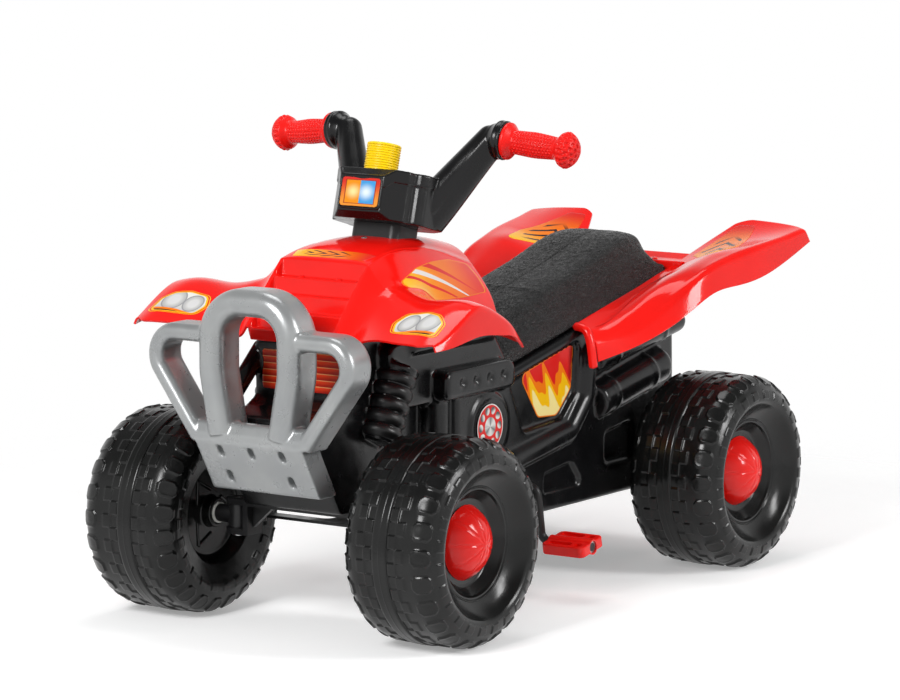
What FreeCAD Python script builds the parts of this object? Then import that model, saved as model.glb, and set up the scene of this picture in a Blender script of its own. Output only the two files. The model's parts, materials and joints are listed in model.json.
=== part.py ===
import FreeCAD, Part
import math
import os

from FreeCAD import Vector

# A child's pedal quad bike, in millimetres.
# +Z is up, -Y is the front and +X is the rider's left. The origin is on the ground below the
# middle of the overall box. "back" is a distance behind the front axle, "up" a height above the
# ground and "x" a distance from the middle plane.

# Overall layout
OVERALL_LENGTH = 1042.0
FRONT_OVERHANG = 145.0
WHEELBASE = 689.0
TRACK = 422.0
RUNNING_GAP = 0.4
BEARING_GAP = 0.12

# Wheels
TYRE_RADIUS = 137.0
TYRE_WIDTH = 150.0
TYRE_SHOULDER = 36.0
LUG_HEIGHT = 2.6
LUG_COUNT = 24
WHEEL_WALL = 3.6
SIDEWALL_RADIUS = 87.0
RING_RADIUS = 69.5
RING_DEPTH = 24.0
DISH_RADIUS = 57.0
HUB_OUTER_FACE = 34.0
HUB_INNER_FACE = 60.0
INNER_DISH_FACE = 45.0
HUB_BOSS_RADIUS = 20.0
CAP_RADIUS = 49.0
CAP_HEIGHT = 32.0
CAP_WALL = 2.6
CAP_FLUTES = 8

# Axles, bushes and pins
AXLE_RADIUS = 6.0
BUSH_RADIUS = 10.0
BUSH_LENGTH = 20.0
BUSH_FLANGE_RADIUS = 14.0
BUSH_FLANGE = 2.5
NUT_RADIUS = 11.0
NUT_LENGTH = 4.0
DRIVE_PIN_RADIUS = 3.0
DRIVE_PIN_LENGTH = 34.0

# Steering
KINGPIN_X = 118.0
KINGPIN_RADIUS = 5.0
BARREL_RADIUS = 13.0
BARREL_HEIGHT = 31.0
EAR_THICKNESS = 8.0
EAR_RADIUS = 16.0
KNUCKLE_ARM = 50.0
KNUCKLE_ARM_THICKNESS = 7.0
ROD_PIN_RADIUS = 4.0
ROD_THICKNESS = 4.0
ROD_WIDTH = 20.0
CLIP_THICKNESS = 2.0
STEER_RAKE_DEG = 15.0
STEER_BACK = 172.0
STEER_UP = 505.0
COLUMN_FOOT_UP = 151.0
DROP_ARM_THICKNESS = 6.0

# Pedal drive
CRANK_UP = 150.0
CRANK_ARM = 78.0
CRANK_PHASE_DEG = 10.0
CRANK_ARM_X = 130.0
CRANK_BEND = 14.0
PEDAL_OUTER_X = 213.0
PEDAL_DEPTH = 56.0
PEDAL_THICKNESS = 15.0
PEDAL_TILT_DEG = 11.0
PEDAL_BOSS_RADIUS = 10.5
CHAIN_PITCH = 12.7
CHAIN_LINKS = 68
CRANK_TEETH = 16
AXLE_TEETH = 12
ROLLER_RADIUS = 3.85
CHAIN_INNER_WIDTH = 3.4
CHAIN_PLATE = 1.0
CHAIN_PLATE_HALF = 4.9
CHAIN_PIN_RADIUS = 1.75
CHAIN_PLAY = 0.15
SPROCKET_THICKNESS = 2.4

# Chassis moulding
BODY_HALF = 106.0
BODY_DROP = 3.5
SPINE_HALF = 78.0
SHOULDER_HALF = 98.0
BELLY_UP = 103.0
COVER_THICKNESS = 3.6
COVER_HALF = 31.0
COVER_PLAY = 0.3
TUNNEL_END = 43.0
TUNNEL_HALF = 14.0
TUNNEL_UP = 205.0
SEAT_BASE_BACK = 380.0
SEAT_BASE_UP = 325.0
SEAT_SLOPE = 0.217
SEAT_END_BACK = 748.0
DECK_UP = SEAT_BASE_UP + 83.0
DECK_WALL = 5.0
DISC_BACK = 262.0
DISC_UP = 242.0
DISC_RADIUS = 48.0
RAIL_X = 124.0
COIL_X = 90.0
COIL_RADIUS = 28.0
COIL_RIBS = 5

# Front cowl
COWL_WALL = 3.0
HUMP_GAP = 5.0
STEP_COUNT = 4
STEP_TREAD = 13.0
STEP_RISE = 20.75
STEP_LEAN = 5.0
STEP_START_BACK = -38.0
STEP_START_UP = 396.0
STEP_HALF = 69.0
STEP_WALL = 3.5
RIDGE_TOP_X = 70.0

# Rear mudguard
FENDER_WALL = 3.0
LEDGE_X = 94.0
WING_START_BACK = 670.0
WING_LENGTH = 227.0

# Seat
SEAT_HALF = 91.0
SEAT_TOP_HALF = 63.0

# Bumper
PLATE_HALF = 86.0
PLATE_DEPTH = 40.0
PLATE_TOP_BACK = -141.0
PLATE_TOP_UP = 264.0
PLATE_LOW_BACK = -97.0
PLATE_LOW_UP = 190.0
ARCH_WIDTH = 36.0
ARCH_DEPTH = 62.0
ARCH_HALF = 62.0
ARCH_DRAW = 15.0
ARCH_TOP_UP = 442.0
LOOP_WIDTH = 23.0
LOOP_DEPTH = 54.0
LOOP_HALF = 153.0
LOOP_BEND = 30.0
LOOP_TOP_UP = 397.0

# Handlebar
CONSOLE_FRONT = 70.0
CONSOLE_BOTTOM = 10.0
CONSOLE_TOP = 78.0
CONSOLE_HALF = 73.0
CONSOLE_REAR = 42.0
ARM_END = 14.0
ARM_FOOT_RADIUS = 22.5
ARM_TIP_RADIUS = 17.5
PANEL_THICKNESS = 2.0
HORN_BACK = -32.0
HORN_RADIUS = 23.0
HORN_HEIGHT = 33.0
HORN_RIBS = 9
HORN_CAP_THICKNESS = 4.0
GRIP_FLANGE_RADIUS = 25.0
GRIP_RADIUS = 15.0
GRIP_LENGTH = 108.0
SPIGOT_RADIUS = 10.5
COLLAR_HEIGHT = 26.0
PAD_DEPTH = 140.0

# Fasteners
SCREW_RADIUS = 2.2
SCREW_HEAD_RADIUS = 4.6
SCREW_HEAD = 2.4

# Values that follow from the ones above
FRONT_AXLE_Y = FRONT_OVERHANG - OVERALL_LENGTH / 2
TAIL_BACK = OVERALL_LENGTH - FRONT_OVERHANG
AXLE_UP = TYRE_RADIUS
WHEEL_X = TRACK / 2
FRONT_BELLY_UP = AXLE_UP + BARREL_HEIGHT / 2 + RUNNING_GAP + EAR_THICKNESS
BORE_RADIUS = AXLE_RADIUS + BEARING_GAP
RAKE = math.radians(STEER_RAKE_DEG)
CARCASS_RADIUS = TYRE_RADIUS - LUG_HEIGHT
CARCASS_HALF = TYRE_WIDTH / 2 - LUG_HEIGHT
BOLT_LEVEL = CONSOLE_BOTTOM + 16
AXIS_X = Vector(1, 0, 0)
AXIS_Y = Vector(0, 1, 0)
AXIS_Z = Vector(0, 0, 1)
ORIGIN = Vector(0, 0, 0)


def at(x, back, up):
    """Point from its distances to the middle plane, the front axle and the ground."""
    return Vector(x, FRONT_AXLE_Y + back, up)


def seat_up(back):
    """Height of the sloping plane that the seat rests on."""
    return SEAT_BASE_UP + SEAT_SLOPE * (back - SEAT_BASE_BACK)


def plate_back(up):
    """Rear face of the bumper plate, which leans back towards the ground."""
    share = (up - PLATE_LOW_UP) / (PLATE_TOP_UP - PLATE_LOW_UP)
    return PLATE_LOW_BACK + PLATE_DEPTH + share * (PLATE_TOP_BACK - PLATE_LOW_BACK)


def unit2(u, v):
    """Unit vector in a plane."""
    length = math.hypot(u, v)
    return u / length, v / length


def rounded_wire(corners, place):
    """Closed wire through corners (u, v, radius), with an arc at each corner that has a radius."""
    runs = []
    count = len(corners)
    for i, (u, v, radius) in enumerate(corners):
        before = corners[i - 1]
        after = corners[(i + 1) % count]
        a = unit2(before[0] - u, before[1] - v)
        b = unit2(after[0] - u, after[1] - v)
        if radius <= 0:
            runs.append(((u, v), None, (u, v)))
            continue
        half = math.acos(max(-1.0, min(1.0, a[0] * b[0] + a[1] * b[1]))) / 2
        cut = radius / math.tan(half)
        mid = unit2(a[0] + b[0], a[1] + b[1])
        reach = radius / math.sin(half) - radius
        runs.append(((u + a[0] * cut, v + a[1] * cut), (u + mid[0] * reach, v + mid[1] * reach),
                     (u + b[0] * cut, v + b[1] * cut)))
    edges = []
    for i, (start, middle, end) in enumerate(runs):
        following = runs[(i + 1) % count][0]
        if middle is not None:
            edges.append(Part.Arc(place(*start), place(*middle), place(*end)).toShape())
        if math.dist(end, following) > 1e-6:
            edges.append(Part.LineSegment(place(*end), place(*following)).toShape())
    return Part.Wire(edges)


def side_prism(corners, x0, x1):
    """Side view outline (back, up, radius) carried from x0 to x1."""
    wire = rounded_wire(corners, lambda back, up: at(x0, back, up))
    return Part.Face(wire).extrude(Vector(x1 - x0, 0, 0))


def box_between(x0, x1, back0, back1, up0, up1):
    """Plain block between two corners."""
    return Part.makeBox(x1 - x0, back1 - back0, up1 - up0, at(x0, back0, up0))


def bar(start, end, radius):
    """Round bar between two points."""
    run = end - start
    return Part.makeCylinder(radius, run.Length, start, run)


def tube(start, end, outer, inner):
    """Hollow round bar between two points."""
    return bar(start, end, outer).cut(bar(start, end, inner))


def capsule(start, end, radius):
    """Round bar with ball ends."""
    return join([bar(start, end, radius), Part.makeSphere(radius, start), Part.makeSphere(radius, end)])


def join(shapes):
    """One solid from several that overlap."""
    return shapes[0].fuse(shapes[1:]).removeSplitter()


def mirrored(shape):
    """The same shape on the other side of the middle plane."""
    return shape.mirror(ORIGIN, AXIS_X)


def both_sides(shape):
    """The shape and its mirror image as a group of solids."""
    return Part.makeCompound([shape, mirrored(shape)])


def bent_path(points, bend):
    """Wire of straight runs with an arc of the same radius at each inner point."""
    edges = []
    start = points[0]
    for i in range(1, len(points) - 1):
        to_before = (points[i - 1] - points[i]).normalize()
        to_after = (points[i + 1] - points[i]).normalize()
        half = to_before.getAngle(to_after) / 2
        cut = bend / math.tan(half)
        middle = (to_before + to_after).normalize() * (bend / math.sin(half) - bend)
        first = points[i] + to_before * cut
        last = points[i] + to_after * cut
        edges.append(Part.LineSegment(start, first).toShape())
        edges.append(Part.Arc(first, points[i] + middle, last).toShape())
        start = last
    edges.append(Part.LineSegment(start, points[-1]).toShape())
    return Part.Wire(edges)


def bent_rod(points, bend, radius):
    """Round rod along a bent path."""
    path = bent_path(points, bend)
    circle = Part.Wire([Part.Circle(points[0], points[1] - points[0], radius).toShape()])
    return path.makePipeShell([circle], True, False)


def band_sweep(points, bend, width, depth):
    """Band with round front and back edges, deep along Y, carried along a path in an XZ plane."""
    path = bent_path(points, bend)
    run = (points[1] - points[0]).normalize()
    side = run.cross(AXIS_Y) * (width / 2)
    reach = AXIS_Y * (depth / 2 - width / 2)
    tip = AXIS_Y * (depth / 2)
    start = points[0]
    edges = [
        Part.LineSegment(start + side - reach, start + side + reach).toShape(),
        Part.Arc(start + side + reach, start + tip, start - side + reach).toShape(),
        Part.LineSegment(start - side + reach, start - side - reach).toShape(),
        Part.Arc(start - side - reach, start - tip, start + side - reach).toShape(),
    ]
    return path.makePipeShell([Part.Wire(edges)], True, False)


def smooth_edge(points):
    """Smooth curve through points."""
    curve = Part.BSplineCurve()
    curve.interpolate(points)
    return curve.toShape()


def inset_points(points, wall):
    """Section points (x, up) moved inwards by a wall, square to the section line."""
    moved = []
    last = len(points) - 1
    for i, (x, up) in enumerate(points):
        before = points[max(i - 1, 0)]
        after = points[min(i + 1, last)]
        du, dv = unit2(after[0] - before[0], after[1] - before[1])
        moved.append((x + dv * wall, up - du * wall))
    return moved


def on_plane(points, back, skew=0.0):
    """Section points (x, up) put on an upright plane that meets the middle plane at "back"."""
    return [at(x, back + skew * x, up) for x, up in points]


def skin_wire(points, wall, back, skew=0.0, lip=None):
    """Closed section of a thin skin, with a straight lip after the smooth part when one is given."""
    whole = points + ([lip] if lip else [])
    outer = on_plane(whole, back, skew)
    inner = on_plane(inset_points(whole, wall), back, skew)
    count = len(points)
    edges = [smooth_edge(outer[:count])]
    if lip:
        edges.append(Part.LineSegment(outer[count - 1], outer[count]).toShape())
    edges.append(Part.LineSegment(outer[-1], inner[-1]).toShape())
    if lip:
        edges.append(Part.LineSegment(inner[count], inner[count - 1]).toShape())
    edges.append(smooth_edge(list(reversed(inner[:count]))))
    edges.append(Part.LineSegment(inner[0], outer[0]).toShape())
    return Part.Wire(edges)


def solid_section(points, back, base_up):
    """Closed section under a smooth line, with a flat base."""
    tops = on_plane(points, back)
    low_end = at(points[-1][0], back, base_up)
    low_start = at(points[0][0], back, base_up)
    edges = [
        smooth_edge(tops),
        Part.LineSegment(tops[-1], low_end).toShape(),
        Part.LineSegment(low_end, low_start).toShape(),
        Part.LineSegment(low_start, tops[0]).toShape(),
    ]
    return Part.Wire(edges)


def full_section(half_points):
    """Points from the right to the left side, from (x, up) pairs that start in the middle plane."""
    return [(-x, up) for x, up in half_points[:0:-1]] + half_points


def steering_place(shape):
    """Carry a shape from the steering frame, whose z axis is the column, into the bike."""
    moved = shape.copy()
    turn = FreeCAD.Rotation(AXIS_X, -STEER_RAKE_DEG)
    moved.Placement = FreeCAD.Placement(at(0, STEER_BACK, STEER_UP), turn).multiply(moved.Placement)
    return moved


def wheel_profile():
    """Outer section of a wheel (x, radius, corner radius), from the inner hub face to the outer one."""
    ring_x = TYRE_WIDTH / 2 - RING_DEPTH
    return [
        (-HUB_INNER_FACE, 0, 0), (-HUB_INNER_FACE, HUB_BOSS_RADIUS, 2),
        (-INNER_DISH_FACE, HUB_BOSS_RADIUS, 3), (-INNER_DISH_FACE, DISH_RADIUS + 3, 4),
        (-HUB_INNER_FACE - 2, RING_RADIUS, 4), (-CARCASS_HALF, SIDEWALL_RADIUS, 10),
        (-CARCASS_HALF, CARCASS_RADIUS, TYRE_SHOULDER), (CARCASS_HALF, CARCASS_RADIUS, TYRE_SHOULDER),
        (CARCASS_HALF, SIDEWALL_RADIUS, 10), (ring_x, RING_RADIUS, 3), (ring_x - 5, RING_RADIUS - 5, 2),
        (HUB_OUTER_FACE, DISH_RADIUS, 4), (HUB_OUTER_FACE, 0, 0),
    ]


def wheel_cavity_profile():
    """Section of the air space inside the wheel wall."""
    wall = WHEEL_WALL
    ring_x = TYRE_WIDTH / 2 - RING_DEPTH
    hub = BUSH_RADIUS + wall + 1
    return [
        (wall - INNER_DISH_FACE, hub, 0), (wall - INNER_DISH_FACE, DISH_RADIUS + 3 + wall, 2),
        (wall - HUB_INNER_FACE - 2, RING_RADIUS + wall, 2), (wall - CARCASS_HALF, SIDEWALL_RADIUS + 2, 6),
        (wall - CARCASS_HALF, CARCASS_RADIUS - wall, TYRE_SHOULDER - wall),
        (CARCASS_HALF - wall, CARCASS_RADIUS - wall, TYRE_SHOULDER - wall),
        (CARCASS_HALF - wall, SIDEWALL_RADIUS + 3, 6), (ring_x - 3, RING_RADIUS + wall, 1),
        (ring_x - 8, RING_RADIUS - 2, 1), (HUB_OUTER_FACE - wall, DISH_RADIUS + 2, 2),
        (HUB_OUTER_FACE - wall, hub, 0),
    ]


def revolved(corners, angle=360):
    """Turn a section (x, radius, corner radius) about the X axis."""
    face = Part.Face(rounded_wire(corners, lambda x, radius: Vector(x, radius, 0)))
    return face.revolve(ORIGIN, AXIS_X, angle)


def shoulder_lug(side):
    """One lug that wraps the tyre shoulder on one side."""
    centre_x = side * (CARCASS_HALF - TYRE_SHOULDER)
    centre_r = CARCASS_RADIUS - TYRE_SHOULDER

    def on_arc(radius, degrees):
        turn = math.radians(degrees)
        return Vector(centre_x + side * radius * math.cos(turn), centre_r + radius * math.sin(turn), 0)

    outer = TYRE_SHOULDER + LUG_HEIGHT
    inner = TYRE_SHOULDER - 1.5
    edges = [
        Part.Arc(on_arc(outer, 6), on_arc(outer, 34), on_arc(outer, 62)).toShape(),
        Part.LineSegment(on_arc(outer, 62), on_arc(inner, 64)).toShape(),
        Part.Arc(on_arc(inner, 64), on_arc(inner, 34), on_arc(inner, 4)).toShape(),
        Part.LineSegment(on_arc(inner, 4), on_arc(outer, 6)).toShape(),
    ]
    return Part.Face(Part.Wire(edges)).revolve(ORIGIN, AXIS_X, 200 / LUG_COUNT)


def tread_block(side, x0, x1, share):
    """One shallow block of the tread beside the smooth middle band."""
    low = CARCASS_RADIUS - 1.5
    top = TYRE_RADIUS - 0.4
    corners = [(side * x0, low, 0), (side * x0, top, 0), (side * x1, top, 0), (side * x1, low, 0)]
    return revolved(corners, share * 360 / LUG_COUNT)


def wheel_blank():
    """Hollow wheel without its bore, axis along X and outer face towards +X."""
    carcass = revolved(wheel_profile())
    band = revolved([(-17, CARCASS_RADIUS - 2, 0), (-17, TYRE_RADIUS, 1), (17, TYRE_RADIUS, 1),
                     (17, CARCASS_RADIUS - 2, 0)])
    lugs = []
    step = 360 / LUG_COUNT
    for side in (-1, 1):
        shoulder = shoulder_lug(side)
        short = tread_block(side, 16, 30, 0.5)
        long = tread_block(side, 16, 38, 0.5)
        for i in range(LUG_COUNT):
            lug = shoulder.copy()
            lug.rotate(ORIGIN, AXIS_X, i * step)
            block = (short if i % 2 else long).copy()
            block.rotate(ORIGIN, AXIS_X, (i + 0.5) * step)
            lugs += [lug, block]
    solid = carcass.fuse([band] + lugs)
    return solid.cut(revolved(wheel_cavity_profile()))


def wheel_bored(blank):
    """Wheel that turns on two bushes."""
    bore = bar(Vector(-TYRE_WIDTH, 0, 0), Vector(TYRE_WIDTH, 0, 0), BUSH_RADIUS)
    return blank.cut(bore)


def wheel_driven(blank):
    """Wheel that is turned by a cross pin of the axle."""
    bore = bar(Vector(-TYRE_WIDTH, 0, 0), Vector(TYRE_WIDTH, 0, 0), BORE_RADIUS)
    half = DRIVE_PIN_RADIUS + 0.3
    slot = Part.makeBox(2 * half + 1, 2 * half, 4 * HUB_BOSS_RADIUS,
                        Vector(-HUB_INNER_FACE - 1, -half, -2 * HUB_BOSS_RADIUS))
    return blank.cut([bore, slot])


def wheel_bushes():
    """The two flanged bushes of a wheel."""
    inner = join([bar(Vector(-HUB_INNER_FACE - BUSH_FLANGE, 0, 0), Vector(-HUB_INNER_FACE, 0, 0),
                      BUSH_FLANGE_RADIUS),
                  bar(Vector(-HUB_INNER_FACE, 0, 0), Vector(BUSH_LENGTH - HUB_INNER_FACE, 0, 0), BUSH_RADIUS)])
    outer = join([bar(Vector(HUB_OUTER_FACE, 0, 0), Vector(HUB_OUTER_FACE + BUSH_FLANGE, 0, 0),
                      BUSH_FLANGE_RADIUS),
                  bar(Vector(HUB_OUTER_FACE - BUSH_LENGTH, 0, 0), Vector(HUB_OUTER_FACE, 0, 0), BUSH_RADIUS)])
    bore = bar(Vector(-TYRE_WIDTH, 0, 0), Vector(TYRE_WIDTH, 0, 0), BORE_RADIUS)
    return Part.makeCompound([inner.cut(bore), outer.cut(bore)])


def hub_cap():
    """Thin domed cap with radial flutes, seated on the outer dish of the wheel."""
    ball = (CAP_RADIUS ** 2 + CAP_HEIGHT ** 2) / (2 * CAP_HEIGHT)
    centre = Vector(HUB_OUTER_FACE + CAP_HEIGHT - ball, 0, 0)
    keep = Part.makeBox(ball, 4 * ball, 4 * ball, Vector(HUB_OUTER_FACE, -2 * ball, -2 * ball))
    dome = Part.makeSphere(ball, centre).common(keep)
    dome = dome.cut(Part.makeSphere(ball - CAP_WALL, centre))
    start = 7.0 / ball
    spread = math.degrees(math.asin(CAP_RADIUS / ball)) - math.degrees(start) - 3
    lead = Vector(math.cos(start), math.sin(start), 0)
    ring = Part.Face(Part.Wire([Part.Circle(centre + lead * (ball + 0.6), Vector(-lead.y, lead.x, 0), 1.9).toShape()]))
    flute = ring.revolve(centre, AXIS_Z, spread)
    flutes = []
    for i in range(CAP_FLUTES):
        turned = flute.copy()
        turned.rotate(ORIGIN, AXIS_X, 360 * i / CAP_FLUTES)
        flutes.append(turned)
    return dome.cut(flutes)


def set_wheel(shape, back, side):
    """Put a shape made about the X axis in its wheel place on one side."""
    moved = shape.copy()
    moved.translate(at(WHEEL_X, back, AXLE_UP))
    return moved if side > 0 else mirrored(moved)


def axle_nut(face_x, back):
    """Push-on nut at the outer end of a left axle end."""
    start = WHEEL_X + face_x + RUNNING_GAP
    ring = tube(at(start, back, AXLE_UP), at(start + NUT_LENGTH, back, AXLE_UP), NUT_RADIUS, AXLE_RADIUS)
    return ring


def front_axle_beam():
    """Beam under the nose with two forks for the steering knuckles."""
    low = AXLE_UP - BARREL_HEIGHT / 2 - RUNNING_GAP - EAR_THICKNESS
    top = FRONT_BELLY_UP
    upper_ear = top - EAR_THICKNESS
    lower_ear = low + EAR_THICKNESS
    web_out = KINGPIN_X - 19
    web_in = web_out - 8
    half = EAR_RADIUS
    pieces = []
    for up0 in (low, upper_ear):
        ear = bar(at(KINGPIN_X, 0, up0), at(KINGPIN_X, 0, up0 + EAR_THICKNESS), EAR_RADIUS)
        pieces.append(ear)
        pieces.append(box_between(web_in, KINGPIN_X, -half, half, up0, up0 + EAR_THICKNESS))
    pieces.append(box_between(web_in, web_out, -half, half, low, top))
    rib = Part.Face(rounded_wire(
        [(web_in + 2, lower_ear, 0), (web_in + 2, upper_ear + 1, 0), (web_in - 34, upper_ear + 1, 0)],
        lambda x, up: at(x, -4, up))).extrude(AXIS_Y * 8)
    pieces.append(rib)
    left = join(pieces)
    bridge = box_between(-web_out, web_out, -half, half, upper_ear, top)
    beam = join([bridge, left, mirrored(left)])
    drill = bar(at(KINGPIN_X, 0, low - 1), at(KINGPIN_X, 0, top + 1), KINGPIN_RADIUS)
    bolts = [bar(at(x, 0, upper_ear - 1), at(x, 0, top + 1), SCREW_RADIUS) for x in (-45, 45)]
    return beam.cut([drill, mirrored(drill)] + bolts)


def kingpins():
    """Two steel pins with a head below the lower ear."""
    low = AXLE_UP - BARREL_HEIGHT / 2 - RUNNING_GAP - EAR_THICKNESS
    pin = join([bar(at(KINGPIN_X, 0, low), at(KINGPIN_X, 0, FRONT_BELLY_UP - 1), KINGPIN_RADIUS),
                bar(at(KINGPIN_X, 0, low - 3), at(KINGPIN_X, 0, low), KINGPIN_RADIUS + 3)])
    return both_sides(pin)


def knuckle():
    """Left steering knuckle: barrel, axle boss and an arm that points back to the track rod."""
    low = AXLE_UP - BARREL_HEIGHT / 2
    barrel = bar(at(KINGPIN_X, 0, low), at(KINGPIN_X, 0, low + BARREL_HEIGHT), BARREL_RADIUS)
    boss_end = WHEEL_X - HUB_INNER_FACE - BUSH_FLANGE - RUNNING_GAP
    boss = bar(at(KINGPIN_X, 0, AXLE_UP), at(boss_end, 0, AXLE_UP), BARREL_RADIUS - 1)
    outline = [(KINGPIN_X - 9, 0, 0), (KINGPIN_X + 9, 0, 0), (KINGPIN_X + 8, KNUCKLE_ARM + 8, 7.9),
               (KINGPIN_X - 8, KNUCKLE_ARM + 8, 7.9)]
    arm = Part.Face(rounded_wire(outline, lambda x, back: at(x, back, low))).extrude(
        AXIS_Z * KNUCKLE_ARM_THICKNESS)
    pin_top = low + KNUCKLE_ARM_THICKNESS + ROD_THICKNESS + CLIP_THICKNESS + 2 * RUNNING_GAP + 1.5
    pin = bar(at(KINGPIN_X, KNUCKLE_ARM, low + 1), at(KINGPIN_X, KNUCKLE_ARM, pin_top), ROD_PIN_RADIUS)
    solid = join([barrel, boss, arm, pin])
    drill = bar(at(KINGPIN_X, 0, low - 1), at(KINGPIN_X, 0, low + BARREL_HEIGHT + 1),
                KINGPIN_RADIUS + BEARING_GAP)
    socket = bar(at(KINGPIN_X + KINGPIN_RADIUS + 2, 0, AXLE_UP), at(boss_end + 1, 0, AXLE_UP), AXLE_RADIUS)
    return solid.cut([drill, socket])


def stub_axle():
    """Left front axle pin, pressed in the knuckle."""
    start = KINGPIN_X + KINGPIN_RADIUS + 2
    end = WHEEL_X + HUB_OUTER_FACE + BUSH_FLANGE + NUT_LENGTH + 2
    return bar(at(start, 0, AXLE_UP), at(end, 0, AXLE_UP), AXLE_RADIUS)


def rod_level():
    """Height of the underside of the track rod."""
    return AXLE_UP - BARREL_HEIGHT / 2 + KNUCKLE_ARM_THICKNESS + RUNNING_GAP


def rod_clip():
    """Left push-on clip above the track rod."""
    low = rod_level() + ROD_THICKNESS + RUNNING_GAP
    return tube(at(KINGPIN_X, KNUCKLE_ARM, low), at(KINGPIN_X, KNUCKLE_ARM, low + CLIP_THICKNESS),
                ROD_PIN_RADIUS + 4, ROD_PIN_RADIUS)


def drop_arm_tip():
    """Point in the steering frame where the drop arm pin leaves the arm, and the foot of the column."""
    foot = (COLUMN_FOOT_UP - STEER_UP) / math.cos(RAKE)
    return KNUCKLE_ARM, foot


def slot_back():
    """Where the drop arm pin crosses the track rod, behind the front axle."""
    arm, foot = drop_arm_tip()
    tip_back = STEER_BACK + foot * math.sin(RAKE) + arm * math.cos(RAKE)
    tip_up = STEER_UP + foot * math.cos(RAKE) - arm * math.sin(RAKE)
    return tip_back - (tip_up - rod_level() - ROD_THICKNESS / 2) * math.tan(RAKE)


def track_rod():
    """Flat T-shaped link: a bar between the knuckle arms and a tongue with a slot for the drop arm."""
    low = rod_level()
    half = ROD_WIDTH / 2
    reach = KINGPIN_X + half
    end = slot_back() + 15
    cross = [(-reach, KNUCKLE_ARM - half, half - 0.1), (reach, KNUCKLE_ARM - half, half - 0.1),
             (reach, KNUCKLE_ARM + half, half - 0.1), (half + 3, KNUCKLE_ARM + half, 12),
             (half + 3, end, 9), (-half - 3, end, 9), (-half - 3, KNUCKLE_ARM + half, 12),
             (-reach, KNUCKLE_ARM + half, half - 0.1)]
    plate = Part.Face(rounded_wire(cross, lambda x, back: at(x, back, low))).extrude(AXIS_Z * ROD_THICKNESS)
    holes = [bar(at(x, KNUCKLE_ARM, low - 1), at(x, KNUCKLE_ARM, low + ROD_THICKNESS + 1),
                 ROD_PIN_RADIUS + BEARING_GAP) for x in (-KINGPIN_X, KINGPIN_X)]
    wide = ROD_PIN_RADIUS + RUNNING_GAP
    long = wide + 2.6
    middle = slot_back()
    slot = Part.Face(rounded_wire(
        [(-wide, middle - long, wide - 0.1), (wide, middle - long, wide - 0.1),
         (wide, middle + long, wide - 0.1), (-wide, middle + long, wide - 0.1)],
        lambda x, back: at(x, back, low - 1))).extrude(AXIS_Z * (ROD_THICKNESS + 2))
    return plate.cut(holes + [slot])


def steering_column():
    """Column rod with a drop arm and a pin at its foot."""
    arm, foot = drop_arm_tip()
    rod = bar(Vector(0, 0, foot - DROP_ARM_THICKNESS / 2 - 1), Vector(0, 0, CONSOLE_BOTTOM + 34), AXLE_RADIUS)
    outline = [(-10, -10, 8), (10, -10, 8), (8, arm + 8, 7), (-8, arm + 8, 7)]
    lever = Part.Face(rounded_wire(outline, lambda x, y: Vector(x, y, foot - DROP_ARM_THICKNESS / 2))).extrude(
        AXIS_Z * DROP_ARM_THICKNESS)
    tip_up = STEER_UP + foot * math.cos(RAKE) - arm * math.sin(RAKE)
    reach = (tip_up - rod_level()) / math.cos(RAKE) + 5
    pin = bar(Vector(0, arm, foot - reach), Vector(0, arm, foot + 0.5), ROD_PIN_RADIUS)
    return steering_place(join([rod, lever, pin]))


def console_outline():
    """Plan outline of the console block in the steering frame."""
    h = CONSOLE_HALF
    return [(-34, -CONSOLE_FRONT, 5), (34, -CONSOLE_FRONT, 5), (57, -46, 6), (59, -34, 3), (h - 6, -32, 5),
            (h, -22, 8), (h, CONSOLE_REAR - 16, 14), (h - 22, CONSOLE_REAR, 16), (22 - h, CONSOLE_REAR, 16),
            (-h, CONSOLE_REAR - 16, 14), (-h, -22, 8),
            (6 - h, -32, 5), (-59, -34, 3), (-57, -46, 6)]


def grip_axis():
    """Start of the left grip axis in the steering frame and its direction."""
    return Vector(126, 45, 143), Vector(96, 11, -6.4).normalize()


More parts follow.
